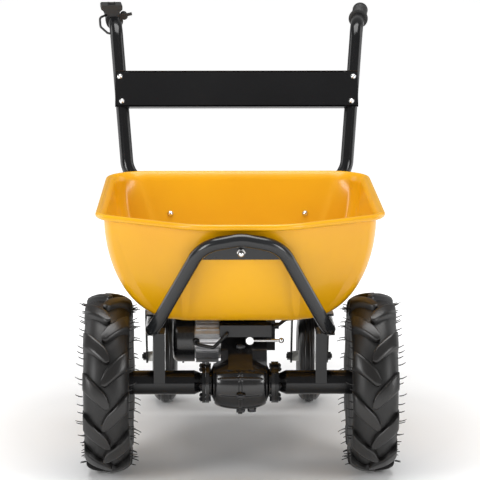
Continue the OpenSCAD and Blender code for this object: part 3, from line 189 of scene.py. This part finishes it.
finishes = {}
paintTone = {"yellow": (0.71, 0.355, 0.001), "deep": (0.67, 0.318, 0.0008)}


# sprayed paint: faint drifts of tone and orange peel
def powderCoat(slot, light, dark, rough, coat, peel, shine):
    f = Finish(slot + "Finish")
    drift = f.noise(3.5, 4.0)
    grain = f.noise(900.0, 2.0)
    dust = f.band(f.noise(42.0, 6.0, 0.7), 0.52, 0.8)
    f.set(Base_Color=f.mix(f.band(drift, 0.35, 0.65), dark, light),
          Roughness=rough + 0.08 * drift + 0.06 * dust)
    f.set(Coat_Weight=coat, Coat_Roughness=0.08, IOR=1.45, Specular_IOR_Level=shine)
    f.bump(grain * 0.3 + f.noise(260.0, 2.0) * 0.7, peel, 0.5)
    finishes[slot] = f.material


powderCoat("tray_paint", paintTone["yellow"], paintTone["deep"], 0.27, 0.2, 0.00010, 0.4)
powderCoat("frame_paint", (0.0055, 0.0055, 0.006), (0.004, 0.004, 0.0045), 0.13, 0.1, 0.00006, 0.42)
powderCoat("hoop_paint", (0.014, 0.0148, 0.016), (0.010, 0.0105, 0.0115), 0.17, 0.1, 0.00008, 0.5)


def castPaint():  # thick gloss paint over a sand casting
    f = Finish("casePaintFinish")
    sand = f.noise(420.0, 4.0, 0.65)
    lumps = f.noise(60.0, 3.0)
    f.set(Base_Color=f.mix(f.band(lumps, 0.4, 0.7), (0.0045, 0.0045, 0.005), (0.010, 0.009, 0.009)),
          Roughness=0.16 + 0.1 * sand)
    f.set(Coat_Weight=0.3, Coat_Roughness=0.08)
    f.bump(sand * 0.3 + lumps, 0.0004, 0.4)
    finishes["case_paint"] = f.material
    g = Finish("bellPaintFinish")
    fine = g.noise(700.0, 3.0)
    g.set(Base_Color=g.mix(g.noise(30.0), (0.005, 0.005, 0.0055), (0.008, 0.008, 0.0085)),
          Roughness=0.22 + 0.1 * fine)
    g.set(Coat_Weight=0.4, Coat_Roughness=0.15)
    g.bump(fine, 0.00015, 0.5)
    finishes["bell_paint"] = g.material


castPaint()


def bareMetal(slot, light, dark, rough, grainSize, grainScale, mottle):
    # metal with grain drawn out along one direction, and patches of tone
    f = Finish(slot + "Finish")
    grain = f.noise(grainScale, 4.0, 0.6, f.stretched(grainSize))
    patches = f.noise(mottle, 3.0)
    f.set(Base_Color=f.mix(f.band(patches, 0.35, 0.7), light, dark), Roughness=rough + 0.16 * grain,
          Metallic=1.0)
    f.bump(grain, 0.00012, 0.5)
    finishes[slot] = f.material


bareMetal("alloy", (0.74, 0.74, 0.75), (0.58, 0.58, 0.59), 0.26, (0.15, 1, 1), 500.0, 25.0)
bareMetal("zinc", (0.80, 0.79, 0.76), (0.66, 0.66, 0.68), 0.16, (1, 1, 1), 300.0, 60.0)
bareMetal("black_zinc", (0.060, 0.060, 0.064), (0.035, 0.035, 0.038), 0.3, (1, 1, 1), 350.0, 80.0)
bareMetal("steel", (0.50, 0.50, 0.51), (0.38, 0.38, 0.39), 0.24, (1, 0.2, 0.2), 600.0, 40.0)
bareMetal("copper", (0.72, 0.38, 0.20), (0.55, 0.27, 0.14), 0.28, (0.2, 1, 1), 700.0, 50.0)


def mouldedRubber(slot, light, dark, rough, dustTone, dustAmount, grain):
    # rubber with patches of chalky bloom and a fine moulded grain
    f = Finish(slot + "Finish")
    bloom = f.band(f.noise(16.0, 6.0, 0.65), 0.45, 0.75)
    fine = f.noise(grain, 3.0)
    tone = f.mix(f.noise(90.0, 4.0), dark, light)
    f.set(Base_Color=f.mix(bloom * dustAmount, tone, dustTone), Roughness=rough + 0.14 * fine)
    f.bump(fine, 0.0002, 0.6)
    finishes[slot] = f.material


mouldedRubber("rubber", (0.008, 0.008, 0.008), (0.005, 0.005, 0.005), 0.45, (0.02, 0.02, 0.02), 0.2,
              1200.0)
mouldedRubber("cable", (0.007, 0.007, 0.007), (0.005, 0.005, 0.005), 0.4, (0.02, 0.02, 0.02), 0.2,
              900.0)
mouldedRubber("magnet", (0.06, 0.06, 0.062), (0.04, 0.04, 0.042), 0.6, (0.09, 0.09, 0.09), 0.2, 500.0)


def mouldedPlastic(slot, light, dark, rough, grain):  # spark-eroded mould texture
    f = Finish(slot + "Finish")
    cells = f.add("TexVoronoi", {}, {"Vector": f.place, "Scale": grain})
    f.set(Base_Color=f.mix(f.noise(12.0, 4.0), dark, light), Roughness=rough + 0.1 * cells)
    f.bump(cells + f.noise(grain * 0.7, 3.0), 0.00012, 0.6)
    finishes[slot] = f.material


mouldedPlastic("plastic", (0.009, 0.009, 0.0095), (0.006, 0.006, 0.0065), 0.34, 700.0)
mouldedPlastic("battery", (0.060, 0.064, 0.070), (0.042, 0.045, 0.050), 0.42, 500.0)
mouldedPlastic("caster_rim", (0.62, 0.62, 0.60), (0.52, 0.52, 0.50), 0.4, 600.0)
mouldedPlastic("switch", (0.016, 0.015, 0.015), (0.011, 0.010, 0.010), 0.24, 900.0)
print("finishes made")


# surfaces
def gridFaces(rows, columns, wrapRows=False, wrapColumns=True):
    # quads between neighbouring rows and columns of a grid of points, going round where asked
    i, j = np.meshgrid(np.arange(rows if wrapRows else rows - 1),
                       np.arange(columns if wrapColumns else columns - 1), indexing="ij")
    k, m = (i + 1) % rows, (j + 1) % columns
    return np.stack([i * columns + j, i * columns + m, k * columns + m, k * columns + j],
                    -1).reshape(-1, 4)


def solid(name, shells, slotName, body, replaced=(), smooth=True, angle=None):
    # shells: (points, faces) pairs, their faces outwards or turned outwards here
    points, faces, start = [], [], 0
    for shellPoints, shellFaces in shells:
        shellPoints = np.asarray(shellPoints).reshape(-1, 3)
        points.append(shellPoints)
        faces += [tuple(int(v) + start for v in f) for f in shellFaces]
        start += len(shellPoints)
    mesh = bpy.data.meshes.new(name)
    mesh.from_pydata(np.concatenate(points).tolist(), [], faces)
    piece = bpy.data.objects.new(name, mesh)
    bpy.context.scene.collection.objects.link(piece)
    outwards(mesh)
    mesh.polygons.foreach_set("use_smooth", np.full(len(mesh.polygons), smooth))
    if angle:
        mesh.set_sharp_from_angle(angle=math.radians(angle))
    mesh.materials.append(finishes[slotName])
    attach(piece, body)
    if replaced:
        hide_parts(*replaced)
    return piece


def outwards(mesh):  # merges doubles, then turns every face outwards
    work = bmesh.new()
    work.from_mesh(mesh)
    bmesh.ops.remove_doubles(work, verts=work.verts, dist=1e-6)
    bmesh.ops.recalc_face_normals(work, faces=work.faces)
    work.to_mesh(mesh)
    work.free()


def aboutX(profile, centre, steps=96):
    # a closed profile of (radius, x) carried round a line along X through the centre
    profile = np.asarray(profile, float)
    a = np.linspace(0, 2 * np.pi, steps, endpoint=False)
    r, x = profile[:, 0][:, None], profile[:, 1][:, None]
    points = np.stack([x + 0 * a, r * np.sin(a), r * np.cos(a)], -1) + np.asarray(centre)
    return points, gridFaces(len(profile), steps, wrapRows=True)


def unit(v):
    return v / np.linalg.norm(v)


def roundedPath(points, bends, degrees=6.0):
    # straight runs joined by arcs: at each inner point the arc of its radius touches both runs
    points = [np.asarray(p, float) for p in points]
    out = [points[0]]
    for i in range(1, len(points) - 1):
        u, v = unit(points[i] - points[i - 1]), unit(points[i + 1] - points[i])
        turn = math.acos(max(-1, min(1, float(u @ v))))
        if turn < 1e-4:
            out.append(points[i])
            continue
        n = unit(v - u * (u @ v))
        start = points[i] - u * bends[i] * math.tan(turn / 2)
        q = np.linspace(0, turn, max(2, math.ceil(math.degrees(turn) / degrees)) + 1)[:, None]
        out += list(start + bends[i] * (u * np.sin(q) + n * (1 - np.cos(q))))
    out.append(points[-1])
    return np.array(out)


def frames(path):
    # a side vector at each point, turned as little as possible from one to the next
    heading = np.gradient(path, axis=0)
    heading /= np.linalg.norm(heading, axis=1)[:, None]
    side = np.cross([0, 0, 1.0] if abs(heading[0][2]) < 0.9 else [0, 1.0, 0], heading[0])
    sides = []
    for h in heading:
        side = unit(side - h * (side @ h))
        sides.append(side)
    sides = np.array(sides)
    return sides, np.cross(heading, sides)


def swept(path, radius, count=24):
    # a circle carried along a path and closed at both ends; the radius may vary along it
    side, up = frames(path)
    a = np.linspace(0, 2 * np.pi, count, endpoint=False)[None, :, None]
    r = np.broadcast_to(np.asarray(radius, float), (len(path),))[:, None, None]
    points = path[:, None] + r * (side[:, None] * np.cos(a) + up[:, None] * np.sin(a))
    faces = [tuple(f) for f in gridFaces(len(path), count)]
    last = (len(path) - 1) * count
    return points, faces + [tuple(range(count - 1, -1, -1)), tuple(range(last, last + count))]


# places shared by the pieces
tyreLow, tyreHigh = (np.array(c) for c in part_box("tyre_left"))
axle = np.array([0, (tyreLow[1] + tyreHigh[1]) / 2, (tyreLow[2] + tyreHigh[2]) / 2])
wheelX = (tyreLow[0] + tyreHigh[0]) / 2
tyreRadius = (tyreHigh[2] - tyreLow[2]) / 2


def fromAxle(points):  # millimetres behind the front axle and above the ground, made metres
    return np.asarray(points, float) * mm + np.array([0, axle[1], 0])


def onSide(points, side):  # the same points on the operator's left (1) or right (-1)
    return np.asarray(points) * np.array([side, 1, 1])


# drive tyres
def tyreRubber():
    # worn glossy lug tops over dull grooves, with the grooves painted darker as shade in the recesses:
    # the tone follows the distance from the axle
    f = Finish("tyreFinish")
    y = axisOf(f, 1) - float(axle[1])
    z = axisOf(f, 2) - float(axle[2])
    high = f.band((y * y + z * z) ** 0.5, 0.190, 0.204)
    fine = f.noise(850.0, 3.0)
    top = f.mix(f.noise(90.0, 4.0), (0.006, 0.0055, 0.0052), (0.012, 0.011, 0.0105))
    # painted shade: the groove tone is much darker than the lug tops, with patches of dust
    groove = f.mix(f.band(f.noise(16.0, 6.0, 0.65), 0.5, 0.8), (0.0022, 0.002, 0.0019),
                   (0.0075, 0.0065, 0.006))
    f.set(Base_Color=f.mix(high, groove, top), Roughness=0.44 - 0.2 * high + 0.12 * fine)
    f.bump(fine * 0.5 + f.noise(240.0, 3.0), 0.0003, 0.6)
    finishes["tyre"] = f.material


tyreRubber()
tyreShape = {"lugs": 12, "lugWidth": 27.0, "slant": 0.95, "start": -9.0, "hairs": 112,
             "hairLength": 17.0,
             "crown": [(0, 208), (10, 207.6), (20, 206.6), (30, 204.6), (40, 201.4), (49, 196),
                       (52, 190), (53.2, 164)],
             "root": [(0, 191), (9, 191), (17, 190.6), (25, 188.5), (33, 184), (41, 177), (46, 167),
                      (48, 154)]}
lugSection = np.array([[-0.64, 0], [-0.55, 0.70], [-0.50, 0.90], [-0.42, 0.98], [-0.30, 1.0],
                       [0.30, 1.0], [0.42, 0.98], [0.50, 0.90], [0.55, 0.70], [0.64, 0]])


def carcassProfile():  # outer skin from bead to bead with sidewall ribs, then back along the inside
    half = [(101.6, 36), (104, 38.5), (108, 40), (112, 40.6), (116, 42.4), (119, 42.4), (121, 43.6),
            (128, 46.4),
            (136, 49.0), (140, 49.9), (141, 51.0), (144, 51.5), (145, 50.9), (152, 51.9), (159, 52.0),
            (166, 51.4),
            (173, 49.3), (179, 45.6), (184.5, 40.7), (189, 34.6), (192.3, 27.6), (194, 20), (194.6, 12),
            (194.6, 0)]
    outer = half + [(r, -x) for r, x in half[-2::-1]]
    inner = [(101.6, -28), (130, -41), (159, -44), (181, -35), (189, -14), (189, 14), (181, 35),
             (159, 44),
             (130, 41), (101.6, 28)]
    return np.array(outer + inner) * mm


def lugShell(angle, hand):
    # a lug: its section stands on the root line and reaches the crown line, and both lines slant
    # round the tyre as they go outwards
    u = np.concatenate([[0, 0.02, 0.05, 0.09, 0.14], np.linspace(0.2, 0.72, 7), [0.79, 0.85, 0.9, 1.0]])
    crown, root = np.array(tyreShape["crown"]), np.array(tyreShape["root"])
    s = np.linspace(0, 1, len(crown))
    top = np.stack([np.interp(u, s, crown[:, 0]), np.interp(u, s, crown[:, 1])], -1)
    low = np.stack([np.interp(u, s, root[:, 0]), np.interp(u, s, root[:, 1])], -1)
    across, height = lugSection[:, 0], lugSection[:, 1]
    spot = low[:, None] + (top - low)[:, None] * height[None, :, None]
    x = spot[..., 0] + tyreShape["start"] * np.clip(1 - u * 3, 0, 1)[:, None]
    r = spot[..., 1]
    knob = np.sqrt(np.clip(1 - (1 - np.clip(u / 0.16, 0, 1)) ** 2, 0.12, 1)) * (1 + 0.25 * u)
    along = x * tyreShape["slant"] + across[None] * knob[:, None] * tyreShape["lugWidth"] * 1.35
    theta = angle + along / tyreRadius * mm
    points = np.stack([hand * x, r * np.sin(theta), r * np.cos(theta)], -1) * mm
    n = len(across)
    faces = [tuple(f) for f in gridFaces(16, n)]
    return points, faces + [tuple(range(n)), tuple(range(15 * n, 16 * n))]


def hairShell(angle, x, r, lean, length):  # a thin rubber vent hair, curling as it leaves the tread
    root = np.array([x, r * math.sin(angle), r * math.cos(angle)])
    out = unit(np.array([lean, 0.25 * math.sin(angle), 0.25 * math.cos(angle)]))
    curl = np.array([0, math.cos(angle), -math.sin(angle)])
    t = np.linspace(0, 1, 5)[:, None]
    path = (root + out * length * t + curl * length * 0.35 * t ** 2) * mm
    return swept(path, np.linspace(1.5, 0.8, 5) * mm, 5)


def makeTyre(side):
    centre = np.array([side * wheelX, axle[1], axle[2]])
    shells = [aboutX(carcassProfile(), centre, 144)]
    pitch = 2 * math.pi / tyreShape["lugs"]
    for i in range(tyreShape["lugs"]):
        for hand, shift in ((1, 0.0), (-1, 0.5)):
            points, faces = lugShell((i + shift) * pitch * -1, hand)
            shells.append((onSide(points, side) + centre, faces))
    dice = np.random.default_rng(7)
    for i in range(tyreShape["hairs"]):
        hand = 1 if i % 2 else -1
        angle = 2 * math.pi * i / tyreShape["hairs"] + dice.uniform(-0.05, 0.05)
        place = dice.uniform(0, 1)
        x, r = hand * (51.2 - 1.6 * place), 189 - 26 * place
        points, faces = hairShell(angle, x, r, hand, tyreShape["hairLength"] * dice.uniform(0.5, 1.15))
        shells.append((onSide(points, side) + centre, faces))
    name = "tyre_left" if side > 0 else "tyre_right"
    solid(name + "_tread", shells, "tyre", name.replace("tyre", "wheel"), (name,), angle=42)


for side in (1, -1):
    makeTyre(side)
print("drive tyres made")

# caster tyres
casterLow, casterHigh = (np.array(c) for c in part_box("caster_tyre_left"))
casterMiddle = (casterLow + casterHigh) / 2
casterShape = {"seat": 74.0, "radius": (casterHigh[2] - casterLow[2]) / 2 / mm,
               "half": (casterHigh[0] - casterLow[0]) / 2 / mm}


def casterProfile():  # a round tread with three grooves, and a raised ring on each wall
    big, half = casterShape["radius"], casterShape["half"]
    a = np.radians(np.linspace(0, 180, 61))
    r = big - half + half * np.sin(a)
    x = half * np.cos(a)
    for groove in (-12, 0, 12):
        r = r - 2.6 * np.clip(1 - (np.abs(x - groove) / 2.4) ** 4, 0, 1)
    ring = np.abs(np.abs(x) - half + 0.8) < 0.35
    x = x + np.sign(x) * 0.5 * ring
    wall = [(casterShape["seat"], -half + 4), (casterShape["seat"], half - 4), (80, half - 3),
            (84, half - 1.0), (87, half - 1.6)]
    other = [(87, 1.6 - half), (84, 1.0 - half), (80, 3 - half)]
    return np.concatenate([np.array(wall), np.stack([r, x], -1), np.array(other)]) * mm


for side, word in ((1, "left"), (-1, "right")):
    tread = aboutX(casterProfile(), casterMiddle * [side, 1, 1], 96)
    solid("caster_tyre_%s_round" % word, [tread], "tyre", "caster_wheel_" + word,
          ("caster_tyre_" + word,), angle=50)
print("caster tyres made")

# tray
trayShape = {"floorZ": 365.0, "depth": 231.0, "rise": 0.0276, "frontY": -185.0, "bulge": 150.0,
             "middleY": 185.0,
             "sheet": 2.0, "lip": 6.0, "bead": 14.0, "shares": (0.02, 0.25, 0.5, 0.75, 0.92),
             "floor": [(126, -50, 26), (156, -28, 40), (156, 420, 46)],
             "rim": [(100, -185, 150), (312, -50, 62), (312, 560, 84)], "steps": (18, 18, 28),
             "wall": 40}


def outline(corners):
    # straight sides joined by arcs at the corners, mirrored to both halves: place and outward direction
    both = corners + [(-x, y, r) for x, y, r in corners[::-1]]
    steps = list(trayShape["steps"]) + list(trayShape["steps"])[::-1]
    rows = []
    for i, (x, y, r) in enumerate(both):
        here = np.array([x, y], float)
        before = np.array(both[i - 1][:2], float)
        after = np.array(both[(i + 1) % len(both)][:2], float)
        u, v = unit(here - before), unit(after - here)
        turn = math.acos(max(-1, min(1, float(u @ v))))
        start = here - u * r * math.tan(turn / 2)
        inwards = np.array([-u[1], u[0]])
        q = np.linspace(0, turn, steps[i] + 1)[:, None]
        place = start + r * (u * np.sin(q) + inwards * (1 - np.cos(q)))
        rows.append(np.concatenate([place, u * np.sin(q) - inwards * np.cos(q)], 1))
    return np.concatenate(rows)


def rimHeight(high):  # the rim climbs evenly from the front to the rear
    return trayShape["depth"] + trayShape["rise"] * (high[:, 1] - trayShape["frontY"])


def trayWall(low, high, q, inset):
    # the wall curves from the floor's outline out to the rim's: q goes from 0 at the floor to a
    # quarter turn at the rim, and the ends are flatter than the sides and corners
    t = trayShape
    flat = np.where(np.abs(high[:, 3]) < 0.7, 0, 0.5 * np.clip((np.abs(high[:, 3]) - 0.7) / 0.25, 0, 1))
    h = (1 - flat) * math.sin(q) + flat * (1 - math.cos(q))
    rise = rimHeight(high)
    slope = np.stack([t["bulge"] * math.cos(q) + 0 * rise, rise * math.sin(q)], -1)
    slope /= np.linalg.norm(slope, axis=1)[:, None]
    xy = low[:, :2] * (1 - h)[:, None] + high[:, :2] * h[:, None]
    xy = xy - high[:, 2:] * (inset * slope[:, 1])[:, None]
    z = t["floorZ"] + rise * (1 - math.cos(q)) + inset * slope[:, 0]
    return np.concatenate([xy, z[:, None]], 1)


def trayRim(high, out, up):  # one ring of the rolled edge
    z = trayShape["floorZ"] + rimHeight(high) + up
    return np.concatenate([high[:, :2] + high[:, 2:] * out, z[:, None]], 1)


def floorRing(low, share, z):  # the floor's outline, shrunk towards the middle of the floor
    middle = np.array([0, trayShape["middleY"]])
    return np.concatenate([middle + (low[:, :2] - middle) * share, np.full((len(low), 1), z)], 1)


def makeTray():
    t = trayShape
    low, high = outline(t["floor"]), outline(t["rim"])
    turns = np.linspace(0, math.pi / 2, t["wall"] + 1)
    b = t["bead"] / 2
    rings = [floorRing(low, share, t["floorZ"]) for share in t["shares"]]
    rings += [trayWall(low, high, q, 0) for q in turns]
    rings += [trayRim(high, t["lip"] + b + b * math.cos(a), t["lip"] + b * math.sin(a))
              for a in np.radians(np.linspace(-150, 150, 25))]
    rings += [trayWall(low, high, q, t["sheet"]) for q in turns[::-1]]
    rings += [floorRing(low, share, t["floorZ"] + t["sheet"]) for share in t["shares"][::-1]]
    n = len(low)
    points = fromAxle(np.array(rings))
    faces = [tuple(f) for f in gridFaces(len(rings), n)]
    last = (len(rings) - 1) * n
    faces += [tuple(range(n)), tuple(range(last, last + n))]
    solid("tray_skin", [(points, faces)], "tray_paint", "chassis", ("tray",), angle=50)


makeTray()
print("tray made")

# cross plate, grips and controls, in millimetres behind the axle
handleShape = {"path": [(203, 715, 430), (203, 715, 500), (287, 722, 617), (321, 880, 980),
                        (343, 1080, 1010)],
               "bend": 60.0, "outer": 34.4, "gripLength": 118.0}
handlePath = np.array(handleShape["path"], float)
gripDir = unit(handlePath[4] - handlePath[3])
gripSide = unit(np.cross(gripDir, [0, 0, 1.0]))
gripUp = np.cross(gripSide, gripDir)


def atGrip(points, side):  # X out from the handle, Y along it to its end, Z up
    p = np.asarray(points, float)
    world = handlePath[4] + p[..., 0:1] * gripSide + p[..., 1:2] * gripDir + p[..., 2:3] * gripUp
    return onSide(fromAxle(world), side)


def gripProfile(flange):  # ribbed rubber sleeve with a thumb flange and a rounded end
    length = handleShape["gripLength"]
    inner = handleShape["outer"] / 2 + 0.05
    rows = [(inner, -length), (flange / 2 - 1.5, -length), (flange / 2, 1 - length),
            (flange / 2, 4 - length),
            (flange / 2 - 2, 5.5 - length), (20.5, 7 - length), (19.2, 10 - length)]
    y = np.linspace(12 - length, -10, 200)
    ribs = np.clip(np.cos((y + length) * 2 * np.pi / 9.4) * 2.2, -1, 1)
    rows += list(zip(19.3 + 0.75 * ribs + 0.8 * np.sin((y + length) / length * np.pi), y))
    rows += [(19.4, -8), (20.6, -5), (21, -2), (20.6, 1.5), (19, 3.6), (16, 4), (9, 4), (0.2, 4),
             (0.2, 0.2), (inner, 0.2)]
    return np.array(rows)


def aboutGrip(profile, side, steps=72):  # the profile of (radius, y) carried round the handle
    a = np.linspace(0, 2 * np.pi, steps, endpoint=False)
    r, y = profile[:, 0][:, None], profile[:, 1][:, None]
    points = atGrip(np.stack([r * np.cos(a), y + 0 * a, r * np.sin(a)], -1), side)
    return points, gridFaces(len(profile), steps, wrapRows=True)


plateShape = {"middle": 812.0, "front": -19.7, "half": 320.0, "height": 100.0, "sheet": 2.5,
              "fold": 16.0,
              "foldHalf": 284.0, "bend": 4.0}


def alongHandle(z):  # the point of the handle's upper straight at a height
    a, b = handlePath[2], handlePath[3]
    return a + (b - a) * (z - a[2]) / (b[2] - a[2])


def makeCrossPlate():
    # a folded sheet: a C section with round bends, its folds stopping short of the handles
    q = plateShape
    top, back, arc = q["height"] / 2, q["front"] + q["fold"], np.radians(np.linspace(90, 0, 9))
    outer = [(back, top)] + [(q["front"] + q["bend"] * (1 - math.cos(math.pi / 2 - a)),
                              top - q["bend"] * (1 - math.sin(a)))
                             for a in arc]
    small = q["bend"] - q["sheet"]
    inner = [(q["front"] + q["sheet"] + small * (1 - math.cos(math.pi / 2 - a)),
              top - q["sheet"] - small * (1 - math.sin(a)))
             for a in arc[::-1]] + [(back, top - q["sheet"])]
    upper = np.array([outer[0], (back - 6, top)] + outer[1:] + [(q["front"], top - q["bend"] - 0.6)])
    lower = upper[::-1] * [1, -1]
    innerUpper = np.array([(q["front"] + q["sheet"], top - q["bend"] - 0.6)] + inner)
    section = np.concatenate([upper, lower, innerUpper[::-1] * [1, -1], innerUpper])
    stations = [-q["half"], 1 - q["half"], -q["foldHalf"] - 0.5, -q["foldHalf"], q["foldHalf"],
                q["foldHalf"] + 0.5,
                q["half"] - 1, q["half"]]
    rows = []
    for i, x in enumerate(stations):
        deep = back if 3 <= i <= 4 else q["front"] + q["sheet"]
        edge = 0.6 if i in (0, 7) else 0.0
        y, z = np.clip(section[:, 0], q["front"] + edge, deep), section[:, 1] * (1 - edge / top)
        rows.append(np.stack([np.full(len(y), x), y, z], -1))
    run = handlePath[3] - handlePath[2]
    lean = math.atan2(run[1], run[2])
    points = np.array(rows)
    y = points[..., 1] * math.cos(lean) + points[..., 2] * math.sin(lean)
    z = points[..., 2] * math.cos(lean) - points[..., 1] * math.sin(lean)
    middle = alongHandle(q["middle"])
    points = fromAxle(np.stack([points[..., 0], y + middle[1], z + middle[2]], -1))
    count = len(section)
    faces = [tuple(f) for f in gridFaces(len(stations), count)]
    last = (len(stations) - 1) * count
    faces += [tuple(range(count)), tuple(range(last, last + count))]
    solid("cross_plate_sheet", [(points, faces)], "frame_paint", "chassis", ("cross_plate",), angle=50)


makeCrossPlate()

for side, word, flange in ((1, "left", 52.0), (-1, "right", 46.0)):
    solid("grip_%s_sleeve" % word, [aboutGrip(gripProfile(flange), side)], "rubber", "chassis",
          ("grip_" + word,), angle=60)
print("grips made")


# cables
def gripPoint(p):  # a point in the grip's own directions, before it is put on a side
    return handlePath[4] + gripSide * p[0] + gripDir * p[1] + gripUp * p[2]


cordShape = {"control": 3.0, "power": 4.0, "boot": 8.0, "bootLength": 15.9, "inHandleZ": 958.0,
             "aside": 8.5}


def makeCables():
    # each cord is a circle carried along its route, in millimetres, with round bends
    start = gripPoint((20, -156, 20))
    entry = alongHandle(cordShape["inHandleZ"])
    end = np.array([60, 528, 310.0])
    aside = np.array([-cordShape["aside"], 0, 0])
    path = [start, start + [20, -2, -8], start + [18, -8, -32], entry + [23, 0, 2], entry + aside,
            handlePath[2] + aside,
            handlePath[1] + [-2, -cordShape["aside"], 0], [203, 706.5, 353.5], [203, 588, 353.5],
            [203, 528, 345], [169, 528, 345],
            end + [30, 0, 0], end]
    bends = [0, 9, 9, 9, 10, 50, 50, 41.5, 60, 13, 12, 14, 0]
    shell = swept(onSide(fromAxle(roundedPath(path, bends)), -1), cordShape["control"] * mm, 16)
    solid("control_cable_sheath", [shell], "cable", "chassis", ("control_cable",))
    motorC = np.array([82.0, 91.0])
    boot = np.array([-102, motorC[0] - 76, motorC[1] + 2])
    stop = np.array([-30, -25, 121.0])
    path = [boot + [0, 1, 0], boot + [4, -16, -2], boot + [40, -20, -8], stop + [0, -14, 0], stop]
    lift = np.array([0, 0, axle[2] / mm])
    lead = swept(fromAxle(roundedPath(path, [7] * 5) + lift), cordShape["power"] * mm, 20)
    y = np.linspace(0, cordShape["bootLength"], 14)
    ribbed = cordShape["boot"] - 0.7 * (np.arange(14) % 2) - 1.2 * (y < 1)
    sleeve = swept(fromAxle(boot + lift + np.stack([0 * y, y, 0 * y], -1)), ribbed * mm, 28)
    solid("motor_cable_sheath", [lead, sleeve], "cable", "chassis", ("motor_cable",), angle=50)
    run = [(72, 6, 340), (86, 6, 340), (106, 18, 353), (150, 36, 354), (180, 66, 354), (180, 488, 354),
           (168, 528, 318), (130, 528, 306), (60, 528, 306)]
    loom = swept(fromAxle(roundedPath(run, [14] * 9)), cordShape["power"] * mm, 24)
    solid("power_loom_sheath", [loom], "cable", "chassis", ("power_loom",))


makeCables()
print("cables made")

# gear-case front
caseShape = {"big": 62.8, "small": 46.0, "half": 60.0, "sheet": 1.4, "from": 141.0, "to": 315.0,
             "seam": 3.6,
             "ribs": (160.0, 200.0, 238.0), "ribHeight": 2.2}


def makeCaseSkin():
    # the rounded cast front of the differential bulb: an oval bulge with a seam ridge and cooling ribs
    q = caseShape
    x = np.linspace(-q["half"], q["half"], 97)
    phi = np.radians(np.linspace(q["from"], q["to"], 141))
    dome = q["small"] + (q["big"] - q["small"]) * np.sqrt(1 - (x / (q["half"] + 1)) ** 2)
    dome = dome + q["seam"] * np.clip(1 - (np.abs(x) / 4.2) ** 4, 0, 1) * 0.8
    ribs = sum(np.exp(-((np.degrees(phi) - at) / 1.7) ** 4) for at in q["ribs"])
    reach = np.clip((52 - np.abs(x)) / 8, 0, 1)
    ends = np.clip((phi - phi[0]) * 8, 0, 1) * np.clip((phi[-1] - phi) * 8, 0, 1)
    outer = dome[:, None] + q["ribHeight"] * ribs[None] * reach[:, None] - 2.2 * (1 - ends)[None]
    inner = outer[::-1] - q["sheet"]
    radius = np.concatenate([outer, inner])
    place = np.concatenate([x, x[::-1]])[:, None] + 0 * phi
    points = np.stack([place, radius * np.cos(phi), radius * np.sin(phi)], -1) * mm + axle
    count = len(phi)
    faces = [tuple(f) for f in gridFaces(len(radius), count, wrapRows=True, wrapColumns=False)]
    total = len(radius) * count
    faces += [tuple(range(0, total, count)), tuple(range(count - 1, total, count))]
    solid("gearcase_front_skin", [(points, faces)], "case_paint", "chassis", angle=60)


makeCaseSkin()
print("gear-case front made")

# finishes on the frame's own parts
for name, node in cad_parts.items():
    for socket in node.material_slots:
        key = socket.material.name.split(".")[0]
        if key in finishes:
            socket.material = finishes[key]


# floor, glowing more away from the machine: painted light, with a painted shadow beneath the machine
def makeFloor():
    mesh = bpy.data.meshes.new("studioFloor")
    mesh.from_pydata([(-60, -60, 0), (60, -60, 0), (60, 60, 0), (-60, 60, 0)], [], [(0, 1, 2, 3)])
    floor = bpy.data.objects.new("studioFloor", mesh)
    bpy.context.scene.collection.objects.link(floor)
    f = Finish("floorFinish")
    x, y = axisOf(f, 0), axisOf(f, 1)
    # painted light: the glow and the lighter far tone grow with the distance from the machine's middle,
    # so the floor beneath it stays darker as a painted shadow
    depth = f.band((x * x + y * y) ** 0.5, studio["glowFrom"], studio["glowTo"])
    near, far = studio["floorNear"], studio["floorFar"]
    f.set(Base_Color=f.mix(depth, (near, near, near), (far, far, far)),
          Roughness=0.6 + 0.1 * f.noise(30.0))
    f.set(Emission_Color=f.mix(depth, (0, 0, 0), (1, 1, 1)), Emission_Strength=studio["glow"])
    mesh.materials.append(f.material)


makeFloor()
print("floor made")
